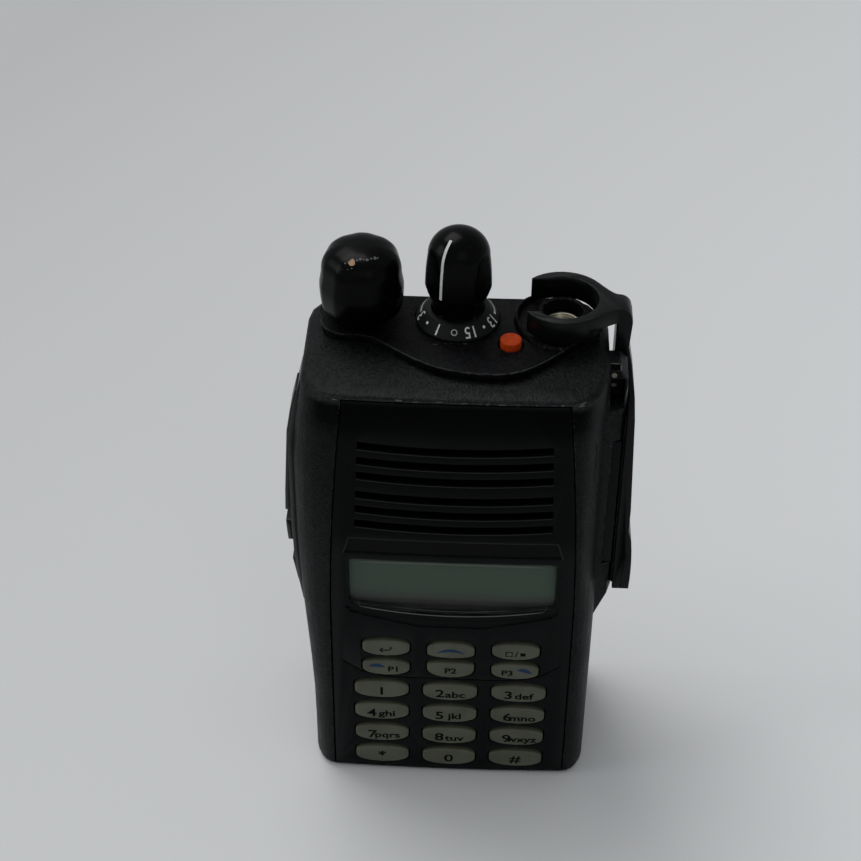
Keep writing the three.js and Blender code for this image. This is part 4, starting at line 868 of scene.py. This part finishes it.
def make_knob(knob, profile, flat_of):
    base = local_box(knob["node"])[0].z
    angles = [2 * math.pi * i / knob["around"] for i in range(knob["around"])]
    rings = []
    for radius, rise in profile:
        flat = flat_of(radius)
        rings.append([round_place(knob, knob_reach(knob, radius, a, flat), a, base + rise) for a in angles])
    piece = ring_skin(knob["node"] + "_skin", rings, knob["node"], knob_black, sharp=KNOB_SHARP)
    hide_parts(knob["node"])
    return base


# Chip and scuffs on the volume knob's upper front edge: turn in degrees, rise, size
CHIP = {"turn": -106, "rise": 13.1, "size": 0.62, "points": 11}
SCUFFS = [(-96, 13.35, 0.16), (-88, 13.45, 0.2), (-80, 13.42, 0.13), (-72, 13.4, 0.22), (-62, 13.42, 0.16),
          (-52, 13.36, 0.24), (-46, 13.3, 0.15), (-118, 12.9, 0.16), (-103, 12.5, 0.14), (-109, 12.3, 0.1)]
# How ragged such a patch is, how wide and high for its size, and how far off the skin
RAGGED = {"least_share": 0.65, "more_share": 0.6, "wide_share": 1.3, "high_share": 0.5, "out": 0.05,
          "lift": 0.04}


def radius_at(profile, rise):
    for (r0, z0), (r1, z1) in zip(profile, profile[1:]):
        if z0 <= rise <= z1 and z1 > z0:
            return r0 + (r1 - r0) * (rise - z0) / (z1 - z0)
    return profile[-1][0]


def patch_on_knob(name, knob, profile, base, turn, rise, size, material):
    """A ragged patch that hugs the knob's skin."""
    corners = []
    for i in range(CHIP["points"]):
        angle = 2 * math.pi * i / CHIP["points"]
        reach = size * (RAGGED["least_share"] + RAGGED["more_share"] * unsteady(i, turn))
        wide = reach * math.cos(angle) * RAGGED["wide_share"]
        around = math.radians(turn) + wide / radius_at(profile, rise)
        up = rise + reach * math.sin(angle) * RAGGED["high_share"]
        radius = radius_at(profile, up)
        out = knob_reach(knob, radius, around, radius * knob["share"]) + RAGGED["out"]
        corners.append(round_place(knob, out, around, base + up + RAGGED["lift"]))
    count = len(corners)
    middle = sum(corners, Vector()) / count
    faces = [(i, (i + 1) % count, count) for i in range(count)]
    faces_object(name, [*corners, middle], faces, knob["node"], material)


def make_volume_knob():
    profile = VOLUME_PROFILE + dome_of(VOLUME)
    base = make_knob(VOLUME, profile, lambda radius: radius * VOLUME["share"])
    patch_on_knob("knob_chip", VOLUME, profile, base, CHIP["turn"], CHIP["rise"], CHIP["size"], chip_tan)
    for i, (turn, rise, size) in enumerate(SCUFFS):
        patch_on_knob(f"knob_scuff_{i}", VOLUME, profile, base, turn, rise, size, pale_wear_and_highlight)


# Pointer line on the channel knob's ridge that looks to the front left
POINTER = {"turn": -120, "from": 4.5, "to": 15.6, "half": 0.26, "out": 0.04, "lift": 0.02, "least_radius": 1}


def make_pointer_line(profile, flat, base):
    turn = math.radians(POINTER["turn"])
    line = [(radius, rise) for radius, rise in profile if POINTER["from"] <= rise <= POINTER["to"]]
    points = []
    for radius, rise in line:
        reach = knob_reach(CHANNEL, radius, turn, flat) + POINTER["out"]
        for side in (-1, 1):
            angle = turn + side * POINTER["half"] / max(reach, POINTER["least_radius"])
            points.append(round_place(CHANNEL, reach, angle, base + rise + POINTER["lift"]))
    faces_object("pointer_line", points, strip_faces(len(line) - 1), "channel_knob", ink_white)


def make_channel_knob():
    flat = max(radius for radius, rise in CHANNEL_PROFILE) * CHANNEL["share"]
    profile = CHANNEL_PROFILE + dome_of(CHANNEL)
    base = make_knob(CHANNEL, profile, lambda radius: flat)
    make_pointer_line(profile, flat, base)


# Dial ring with its numbers, which read from behind the knob
DIAL = {"x": -0.4, "y": 22.1, "bore": 4.9, "base": 7.6, "top": 5.75, "foot": 0.5, "rise": 2.5}
DIAL_ROUND = {"foot_drop": 0.1, "foot_in": 0.08, "head_out": 0.1, "head_drop": 0.08, "head_in": 0.05}
DIAL_WORDS = {"size": 3.0, "stretch": 0.85, "weight": 0.02}
DIAL_MARKS = {"3": 77, "1": 31, "15": -22, "13": -68, "5": 130, "7": 168, "9": 206, "11": -130}
DIAL_DOTS = {"turns": [54, -46, -88, 149, 187], "radius": 0.3, "points": 12}
DIAL_TICKS = {"turns": [103, -103], "half": 2, "width": 0.5}
DIAL_CIRCLE = {"turn": 4, "radius": 0.5, "width": 0.2}
TICK_SHARES = [k / 4 - 1 for k in range(9)]


def make_dial_ring(base):
    foot, head = base + DIAL["foot"], base + DIAL["rise"]
    profile = [
        (DIAL["bore"], base), (DIAL["base"], base), (DIAL["base"], foot - DIAL_ROUND["foot_drop"]),
        (DIAL["base"] - DIAL_ROUND["foot_in"], foot),
        (DIAL["top"] + DIAL_ROUND["head_out"], head - DIAL_ROUND["head_drop"]),
        (DIAL["top"] - DIAL_ROUND["head_in"], head), (DIAL["bore"], head), (DIAL["bore"], base),
    ]
    ring = turned("dial_skin", profile, DIAL, "radio", dial_black)
    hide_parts("dial_ring")


def on_dial(base, turn):
    """The dial's cone round a turn from the front, where u runs around and v down the slope."""
    run = DIAL["base"] - DIAL["top"]
    climb = DIAL["rise"] - DIAL["foot"]
    slope = math.hypot(run, climb)

    def surface(u, v):
        down = 0.5 + v / slope
        radius = DIAL["top"] + run * down
        angle = math.radians(-90 - turn) + u / (DIAL["top"] + run / 2)
        z = base + DIAL["rise"] - climb * down
        return round_place(DIAL, radius + LIFT, angle, z + LIFT)
    return surface


def make_dial():
    base = local_box("dial_ring")[0].z
    make_dial_ring(base)
    for text, turn in DIAL_MARKS.items():
        points, faces = words_mesh(text, DIAL_WORDS["size"], DIAL_WORDS["stretch"], DIAL_WORDS["weight"])
        turned_round = [(-u, v) for u, v in points]
        lay(f"dial_{text}", (turned_round, faces), on_dial(base, turn), "radio", ink_white)
    tick = even_stroke([(DIAL_TICKS["half"] * share, 0) for share in TICK_SHARES], DIAL_TICKS["width"])
    for turn in DIAL_TICKS["turns"]:
        lay(f"dial_tick_{turn % 360}", tick, on_dial(base, turn), "radio", ink_grey)
    dot = disc(DIAL_DOTS["radius"], DIAL_DOTS["radius"], DIAL_DOTS["points"])
    for turn in DIAL_DOTS["turns"]:
        lay(f"dial_dot_{turn % 360}", dot, on_dial(base, turn), "radio", ink_white)
    round_line, _ = disc(DIAL_CIRCLE["radius"], DIAL_CIRCLE["radius"])
    circle = even_stroke(round_line + round_line[:1], DIAL_CIRCLE["width"])
    lay("dial_circle", circle, on_dial(base, DIAL_CIRCLE["turn"]), "radio", ink_grey)


# Emergency button with a rounded rim
EMERGENCY = {"x": 9.35, "y": 14.55, "radius": 1.95, "rim": 0.3, "deep": 2, "wall": 0.4, "dish": 0.02,
             "middle": 0.2, "steps": 6}


def make_emergency_button():
    radius, rim, top = EMERGENCY["radius"], EMERGENCY["rim"], local_box("emergency_button")[1].z
    foot, dish = top - EMERGENCY["deep"], top - EMERGENCY["dish"]
    profile = [(radius - EMERGENCY["wall"], foot), (radius, foot), (radius, top - rim)]
    for i in range(EMERGENCY["steps"]):
        angle = (i + 1) / EMERGENCY["steps"] * math.pi / 2
        profile.append((radius - rim * (1 - math.cos(angle)), top - rim * (1 - math.sin(angle))))
    profile += [(radius - rim - EMERGENCY["wall"], dish), (EMERGENCY["middle"], dish)]
    button = turned("emergency_cap", profile, EMERGENCY, "emergency_button", orange)
    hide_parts("emergency_button")


# Antenna socket: a bushing with rings for its thread
ANTENNA = {"x": 18.65, "y": 21.6, "outer": 3.4, "bore": 2.75, "thread": 0.2, "root": 0.02, "pitch": 0.62,
           "sunk": 1.5, "bevel": 0.15, "lip": 0.1, "sharp": 20}


def make_socket():
    low, high = local_box("antenna_socket")
    bore, outer, bevel = ANTENNA["bore"], ANTENNA["outer"], ANTENNA["bevel"]
    top = high.z - ANTENNA["sunk"]
    profile = [(bore, low.z), (outer, low.z), (outer, top - bevel), (outer - bevel, top)]
    profile.append((bore + ANTENNA["lip"], top))
    for i in range(int((top - low.z) / ANTENNA["pitch"])):
        z = top - bevel - i * ANTENNA["pitch"]
        profile.append((bore - ANTENNA["root"], z))
        profile.append((bore + ANTENNA["thread"], z - ANTENNA["pitch"] / 2))
    profile.append((bore, low.z))
    socket = turned("antenna_thread", profile, ANTENNA, "radio", pale_brass, sharp=ANTENNA["sharp"])
    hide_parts("antenna_socket")


# Display: the window of the module behind the lens
LCD = {"left": -20.3, "right": 20.3, "top": 60.6, "bottom": 44.5, "face": 2.3, "band": 46.2}
# Bevel of what has none of its own
SOFT_EDGE = 0.15
# Painted glints: lines on the lens, as half width, height at the ends, bow, width, shade
GLINTS = [
    (18.2, 58.55, 0.0, 0.22, glint), (18.5, 47.45, 2.15, 0.2, glint), (13.0, 48.3, 0.7, 0.12, faint_glint),
    (12.0, 47.75, 1.0, 0.14, glint_grey), (12.5, 47.3, 1.2, 0.1, faint_glint),
]
GLINT_TIP = {"least_share": 0.1, "growth": 5}


def display_field(name, foot, head, material):
    """A flat field of the display between two heights."""
    left, right, face = LCD["left"], LCD["right"], LCD["face"]
    corners = [(left, face, foot), (right, face, foot), (right, face, head), (left, face, head)]
    faces_object(name, [place(*corner) for corner in corners], [(0, 1, 2, 3)], "radio", material)


def make_display():
    soften("display_module_skin", "display_module", SOFT_EDGE, material=dark_plastic)
    display_field("display_view", LCD["band"], LCD["top"], lcd_green)
    display_field("display_band", LCD["bottom"], LCD["band"], lcd_band)
    lens = soften("display_lens_skin", "display_lens", LENS["edge"], segments=3)
    on_lens = on_front_of(lens, 0, 0)
    tips = [min(1, GLINT_TIP["least_share"] + GLINT_TIP["growth"] * (1 - abs(t))) for t in SHARES]
    for i, (half, z, bow, width, shade) in enumerate(GLINTS):
        line = [(half * t, z - bow * (1 - t * t)) for t in SHARES]
        glint_line = stroke_mesh(line, [width * tip for tip in tips])
        lay(f"lens_glint_{i}", glint_line, on_lens, "radio", shade)


# Bevel widths of the nodes that are shown as softened copies
SOFT_NODES = {
    "front_housing": (0.3, None), "front_panel": (0.14, None), "top_panel": (0.3, deck_black),
    "side_strip": (0.25, None), "talk_button": (0.8, None),
    "side_button_upper": (0.6, None), "side_button_lower": (0.6, None), "battery_case": (0, None),
    "side_connector": (SOFT_EDGE, panel_black), "battery_latch": (0.2, None),
}
MADE_NODES = ("display_lens", "display_module", "volume_knob", "channel_knob", "dial_ring",
              "emergency_button", "antenna_socket", "dust_cover")


# Tops of the chassis lugs, a little lower than in the CAD part, where the battery stops against them
LUG = {"top": 69.0, "eased": 68.94}


def ease_lugs(shape):
    for vertex in shape.verts:
        if close_to((vertex.co - ORIGIN).z / MM, LUG["top"]):
            vertex.co.z = ORIGIN.z + LUG["eased"] * MM


def make_soft_nodes():
    for node in nodes:
        if node in MADE_NODES or node.startswith(("key_", "nav_")):
            continue
        bevel, material = SOFT_NODES.get(node, (SOFT_EDGE, None))
        if node.startswith(("volume_", "channel_")) and slot_of[node] == "steel":
            material = bushing_dark
        segments = 3 if node == "top_panel" else 2
        shape_step = ease_lugs if node == "chassis" else None
        soften(node + "_skin", node, bevel, segments=segments, material=material, shape_step=shape_step)


# Dust cover: round arm ends, a round shoulder on the strap and a closed slit above the pull tab
COVER = {"edge": 0.35, "slit_edge": 33.1, "slit_closed": 32.24, "foot": 46.0, "strap_outer": 31.0,
         "top": 105.6}
ARM_END = {"tall": 2, "right": 17, "corner": 50, "round": 1.15, "segments": 4}
SHOULDER = {"radius": 2.3, "front": 15, "back": 26, "spare": 2, "steps": 10}


def shape_cover(shape):
    for vertex in shape.verts:
        local = (vertex.co - ORIGIN) / MM
        if close_to(local.x, COVER["slit_edge"]) and close_to(local.z, COVER["foot"]):
            vertex.co.x = ORIGIN.x + COVER["slit_closed"] * MM
    ends = []
    for edge in shape.edges:
        a, b = [(vertex.co - ORIGIN) / MM for vertex in edge.verts]
        upright = close_to(a.x, b.x) and close_to(a.y, b.y) and abs(a.z - b.z) > ARM_END["tall"]
        if not upright or a.x > ARM_END["right"] or len(edge.link_faces) != 2:
            continue
        if edge.calc_face_angle(0) > math.radians(ARM_END["corner"]):
            ends.append(edge)
    bmesh.ops.bevel(shape, geom=ends, offset=ARM_END["round"] * MM, segments=ARM_END["segments"], profile=0.5,
                    affect="EDGES", clamp_overlap=True)


def make_shoulder_cutter():
    radius, spare = SHOULDER["radius"], SHOULDER["spare"]
    x, z = COVER["strap_outer"] - radius, COVER["top"] - radius
    outline = []
    for i in range(SHOULDER["steps"] + 1):
        angle = math.pi / 2 * i / SHOULDER["steps"]
        outline.append((x + radius * math.cos(angle), z + radius * math.sin(angle)))
    outline.append((x, COVER["top"] + spare))
    outline.append((COVER["strap_outer"] + spare, COVER["top"] + spare))
    outline.append((COVER["strap_outer"] + spare, z))
    return cutter_across("shoulder_cutter", outline, SHOULDER["front"], SHOULDER["back"])


def make_dust_cover():
    cutter = make_shoulder_cutter()
    soften("dust_cover_skin", "dust_cover", COVER["edge"], shape_step=shape_cover, cutter=cutter)


# Dark sealing strips in the seam between the housing and the battery, so that no light shows through
SEAL = {"across": (24.8, 26.2), "depth": (17.2, 17.58), "height": (0.6, 87.6)}


def make_seals():
    upright_bar("seam_seal_left", SEAL, "radio", side=-1)
    upright_bar("seam_seal_right", SEAL, "radio")


# Under the hood: painted shade in the recess in front, two pale metal pads, and painted highlights along the
# hood's rim and its edge
HOOD_SHADE = {"left": 27.45, "right": 29.3, "low": 95.95, "high": 97.2}
HOOD_BROW = {"left": 27.42, "right": 29.12, "low": 11.25, "high": 13.1}
HOOD_BROW_Z = 97.3
PADS = [(28.0, 96.55, 0.5, 0.4), (28.25, 92.4, 0.5, 0.4)]
HOOD_EDGE = [(29.3, 97.0), (30.4, 95.75), (30.45, 93.6), (30.4, 91.2)]
HOOD_RIM = [(27.42, 13.15), (28.9, 13.15), (29.1, 12.9), (29.16, 11.25)]
HOOD_LINES = {"step": 0.3, "rim_width": 0.36, "edge_width": 0.16}


def on_brow(u, v):
    return place(u, v, HOOD_BROW_Z + LIFT)


def make_hood_marks():
    housing = on_front_of(bpy.data.objects["front_housing_skin"], 0, 0)
    # Painted shade in the recess under the hood
    sheet_between("hood_painted_shade", housing, even_columns(**HOOD_SHADE))
    for i, (x, z, half, tall) in enumerate(PADS):
        pad = shifted(disc(half, tall), x, z)
        lay(f"recess_pad_{i}", pad, lifted(housing), "radio", pad_dull)
    sheet_between("hood_brow", on_brow, even_columns(**HOOD_BROW))
    # Painted highlights along the hood's rim and edge
    rim = even_stroke(dense(HOOD_RIM, HOOD_LINES["step"]), HOOD_LINES["rim_width"])
    lay("hood_rim", rim, on_brow, "radio", pale_wear_and_highlight)
    edge = even_stroke(dense(HOOD_EDGE, HOOD_LINES["step"]), HOOD_LINES["edge_width"])
    lay("hood_edge", edge, housing, "radio", highlight_and_wear_grey)


# The deck, which is the top panel's upper face
DECK_Z = 100.0


def on_deck(u, v):
    return place(u, v, DECK_Z + LIFT)


# Painted highlights of small bumps on the deck in front of the dial: place, half width, half depth
BUMPS = [(-4.23, 13.72, 0.42, 0.16), (-2.34, 14.03, 0.22, 0.12), (1.13, 14.21, 0.5, 0.22)]


def make_bumps():
    for i, (x, y, half, deep) in enumerate(BUMPS):
        lay(f"deck_bump_highlight_{i}", shifted(disc(half, deep), x, y), on_deck, "radio", highlight_and_wear_grey)


# Dark gasket on the inner side of the dust cover's plate
GASKET = {"across": (30.62, 30.95), "depth": (10, 16.8), "height": (46.4, 88)}


def make_gasket():
    upright_bar("cover_gasket", GASKET, "dust_cover")


# Collar round the antenna's seat, which rises out of the top panel on the left
COLLAR = {"inner": 8.15, "outer": 8.55, "foot_out": 0.3, "from": 105, "to": 238, "base": 99.9, "least": 0.15,
          "rise": 1.75, "power": 0.7, "steps": 40, "sharp": 60}


def make_collar():
    inner, outer, base = COLLAR["inner"], COLLAR["outer"], COLLAR["base"]
    lip = (outer - inner) / 4
    rings = []
    for i in range(COLLAR["steps"] + 1):
        share = i / COLLAR["steps"]
        angle = math.radians(COLLAR["from"] + (COLLAR["to"] - COLLAR["from"]) * share)
        top = base + COLLAR["least"] + COLLAR["rise"] * math.sin(math.pi * share) ** COLLAR["power"]
        outline = [
            (inner, base), (outer + COLLAR["foot_out"], base), (outer, top - lip), (outer - lip, top),
            (inner + lip, top), (inner, top - lip),
        ]
        rings.append([round_place(ANTENNA, radius, angle, z) for radius, z in outline])
    ring_skin("antenna_collar", rings, "radio", deck_black, sharp=COLLAR["sharp"])


# Painted highlights on the lips of the grille's slots, which catch the light
SLOT_ENDS = [87.1, 83.588, 80.076, 75.47, 71.958, 68.446]
SLOT = {"half_top": 17.4, "half_foot": 18.5, "lip": 1.02, "bow": 0.9, "top": 97.0, "foot": 58.9, "width": 0.2}
# The field above the display and the one below it, both dark and glossy; the one below is painted shade where
# the panel slopes down to the display
BAND = [(-20.6, 60.7), (-19.5, 64.65), (19.5, 64.65), (20.6, 60.7)]
BAND_FILL = {"half_foot": 20.2, "half_head": 19.15, "foot": 60.95, "head": 64.25, "edge": 0.24}
CHIN = {"half": 20.3, "top": 46.2, "bottom": 45.4, "belly": 2.2, "foot_share": 0.9}


def make_slot_lips(panel):
    for i, z in enumerate(SLOT_ENDS):
        share = (z - SLOT["foot"]) / (SLOT["top"] - SLOT["foot"])
        half = SLOT["half_foot"] + (SLOT["half_top"] - SLOT["half_foot"]) * share
        line = [(half * t, z - SLOT["lip"] - SLOT["bow"] * (1 - t * t)) for t in SHARES]
        lay(f"slot_lip_{i}", even_stroke(line, SLOT["width"]), panel, "radio", faint_glint)


def make_panel_lines():
    panel = on_front_of(bpy.data.objects["front_panel_skin"], 0, 0)
    make_slot_lips(panel)
    # A painted highlight along the band's edge
    lay("band_edge_highlight", even_stroke(dense(BAND), BAND_FILL["edge"]), panel, "radio", faint_glint)
    band = [
        (BAND_FILL["half_foot"] * t, BAND_FILL["foot"], BAND_FILL["half_head"] * t, BAND_FILL["head"])
        for t in SHARES
    ]
    sheet_between("band_fill", panel, band)
    # Painted shade below the display
    chin = []
    for t in SHARES:
        belly = CHIN["belly"] * (1 - t * t)
        foot, head = CHIN["bottom"] - belly * CHIN["foot_share"], CHIN["top"] - belly
        chin.append((CHIN["half"] * t, foot, CHIN["half"] * t, head))
    sheet_between("chin_painted_shade", panel, chin)


# A painted highlight: a pale line along the top panel's front edge, found by looking down on it
RIM = {"from": -25.4, "to": 24.6, "step": 0.5, "inset": 0.22, "probe": 0.3, "far": 20, "halvings": 16}
RIM_WIDTH = {"width": 0.24, "least_share": 0.35, "seed": 9}


def edge_of_top(tree, x):
    """How far back from the front the top begins, at a place across."""
    near, far = 0, RIM["far"]
    for _ in range(RIM["halvings"]):
        middle = (near + far) / 2
        hit = tree.ray_cast(place(x, middle, DECK_Z + PROBE["above"]), Vector((0, 0, -1)))[0]
        on_top = hit is not None and hit.z > (DECK_Z - RIM["probe"]) * MM
        near, far = (near, middle) if on_top else (middle, far)
    return far


def make_rim_line():
    tree = tree_over(bpy.data.objects["top_panel_skin"])
    count = round((RIM["to"] - RIM["from"]) / RIM["step"])
    across = [RIM["from"] + RIM["step"] * i for i in range(count + 1)]
    line = [(x, edge_of_top(tree, x) + RIM["inset"]) for x in across]
    shares = [RIM_WIDTH["least_share"] + unsteady(i, RIM_WIDTH["seed"]) for i in range(len(line))]
    widths = [RIM_WIDTH["width"] * share for share in shares]
    lay("top_rim_highlight", stroke_mesh(line, widths), on_deck, "radio", highlight_and_wear_grey)


# Wear and a painted highlight along the forehead's edge: an uneven line, and pale and dull flecks
FOREHEAD_WEAR_AND_HIGHLIGHT = {"half": 22.4, "z": 97.3}
WEAR_AND_HIGHLIGHT_LINE = {"points": 120, "above": 0.12, "wander": 0.08, "least": 0.04, "more": 0.2, "seeds": (11, 12)}
FLECKS = {"count": 110, "scatter": 0.6, "length": 0.3, "more_length": 1.1, "width": 0.08, "more_width": 0.22,
          "wander": 0.1, "steps": 4, "pale_share": 0.5}


def make_wear_and_highlight_line(housing):
    count = WEAR_AND_HIGHLIGHT_LINE["points"]
    place_seed, width_seed = WEAR_AND_HIGHLIGHT_LINE["seeds"]
    line = []
    widths = []
    for i in range(count + 1):
        up = WEAR_AND_HIGHLIGHT_LINE["above"] + WEAR_AND_HIGHLIGHT_LINE["wander"] * unsteady(i, place_seed)
        line.append((FOREHEAD_WEAR_AND_HIGHLIGHT["half"] * (2 * i / count - 1), FOREHEAD_WEAR_AND_HIGHLIGHT["z"] + up))
        widths.append(WEAR_AND_HIGHLIGHT_LINE["least"] + WEAR_AND_HIGHLIGHT_LINE["more"] * unsteady(i, width_seed))
    lay("forehead_line", stroke_mesh(line, widths), housing, "radio", highlight_and_wear_grey)


def fleck(i):
    """One fleck, which differs in place, length and width."""
    count, steps = FLECKS["count"], FLECKS["steps"]
    x = FOREHEAD_WEAR_AND_HIGHLIGHT["half"] * (2 * (i + unsteady(i, 1)) / count - 1)
    z = FOREHEAD_WEAR_AND_HIGHLIGHT["z"] + FLECKS["scatter"] * (unsteady(i, 2) - 0.5)
    length = FLECKS["length"] + FLECKS["more_length"] * unsteady(i, 3)
    width = FLECKS["width"] + FLECKS["more_width"] * unsteady(i, 4)
    line = []
    for k in range(steps + 1):
        sway = FLECKS["wander"] * (unsteady(i * (steps + 1) + k, 5) - 0.5)
        line.append((x + length * (k / steps - 0.5), z + sway))
    return even_stroke(line, width)


def make_wear_and_highlight():
    housing = on_front_of(bpy.data.objects["front_housing_skin"], 0, 0)
    make_wear_and_highlight_line(housing)
    pale, dull = [], []
    for i in range(FLECKS["count"]):
        kind = pale if unsteady(i, 6) > FLECKS["pale_share"] else dull
        kind.append(fleck(i))
    lay("flecks_pale", joined(pale), lifted(housing), "radio", pale_wear_and_highlight)
    lay("flecks_dull", joined(dull), lifted(housing), "radio", highlight_and_wear_grey)


# A strip of skin on the right front corner, where the hollow inside just reaches the surface
CORNER = {"front": 3.0, "back": 4.15, "foot": 69, "head": 89.5, "steps": 26, "out": 0.01}


def make_corner_strip():
    tree = tree_over(bpy.data.objects["front_housing_skin"])
    points = []
    for i in range(CORNER["steps"] + 1):
        z = CORNER["foot"] + (CORNER["head"] - CORNER["foot"]) * i / CORNER["steps"]
        for y in (CORNER["front"], CORNER["back"]):
            hit = tree.ray_cast(place(PROBE["beside"], y, z), Vector((-1, 0, 0)))[0]
            points.append(hit + Vector((CORNER["out"] * MM, 0, 0)))
    faces_object("corner_strip", points, strip_faces(CORNER["steps"]), "radio", body_black)


# Stage: a pale floor with painted light and shade along a slant, soft lamps and a plain world
FLOOR = {"size": 6, "colour": (0.47, 0.476, 0.48), "roughness": 0.8, "slant": (2.6, -1.1, 0),
         "span": (-0.7, 0.3), "range": (0.9, 1.45)}
WORLD = {"colour": (0.94, 0.97, 1.0), "strength": 0.42}
LAMPS = [
    {"name": "top_lamp", "at": (-0.35, 0.4, 1.1), "size": 0.7, "power": 7.3},
    {"name": "left_lamp", "at": (-0.9, -0.1, 0.5), "size": 0.5, "power": 2.2},
    {"name": "front_lamp", "at": (0.3, -1.1, 0.9), "size": 0.8, "power": 1.0},
]
LAMP_AIM = Vector((0, 0, 0.05))


def make_floor_material():
    """Painted light and shade: a pale grey that brightens along a slant across the floor."""
    material, tree, shader = new_material("floor_painted_light")
    inputs = {0: coordinates_of(tree), 1: FLOOR["slant"]}
    slant = node_of(tree, "VectorMath", inputs, operation="DOT_PRODUCT")
    spread = share_of(tree, slant.outputs["Value"], *FLOOR["span"])
    deep = tuple(c * FLOOR["range"][0] for c in FLOOR["colour"])
    pale = tuple(c * FLOOR["range"][1] for c in FLOOR["colour"])
    tint = ramp_of(tree, spread, [(0.0, deep), (1.0, pale)])
    feed(tree, shader, {"Base Color": tint, "Roughness": FLOOR["roughness"]})
    return material


def make_floor():
    bpy.ops.mesh.primitive_plane_add(size=FLOOR["size"])
    floor = bpy.context.object
    floor.name = "floor"
    floor.data.materials.append(make_floor_material())


def make_world():
    world = bpy.data.worlds.new("world")
    world.use_nodes = True
    background = world.node_tree.nodes["Background"]
    background.inputs["Color"].default_value = (*WORLD["colour"], 1)
    background.inputs["Strength"].default_value = WORLD["strength"]
    bpy.context.scene.world = world


def make_lamps():
    for lamp in LAMPS:
        data = bpy.data.lights.new(lamp["name"], "AREA")
        data.shape = "SQUARE"
        data.size = lamp["size"]
        data.energy = lamp["power"]
        light = bpy.data.objects.new(lamp["name"], data)
        light.location = lamp["at"]
        light.rotation_euler = (LAMP_AIM - light.location).to_track_quat("-Z", "Y").to_euler()
        bpy.context.scene.collection.objects.link(light)


bpy.context.scene.view_settings.view_transform = "Standard"
make_camera()
make_floor()
make_world()
make_lamps()
dress_nodes()
make_soft_nodes()
make_keypad()
make_volume_knob()
make_channel_knob()
make_dial()
make_emergency_button()
make_socket()
make_display()
make_dust_cover()
make_collar()
make_hood_marks()
make_bumps()
make_gasket()
make_seals()
make_panel_lines()
make_rim_line()
make_wear_and_highlight()
make_corner_strip()
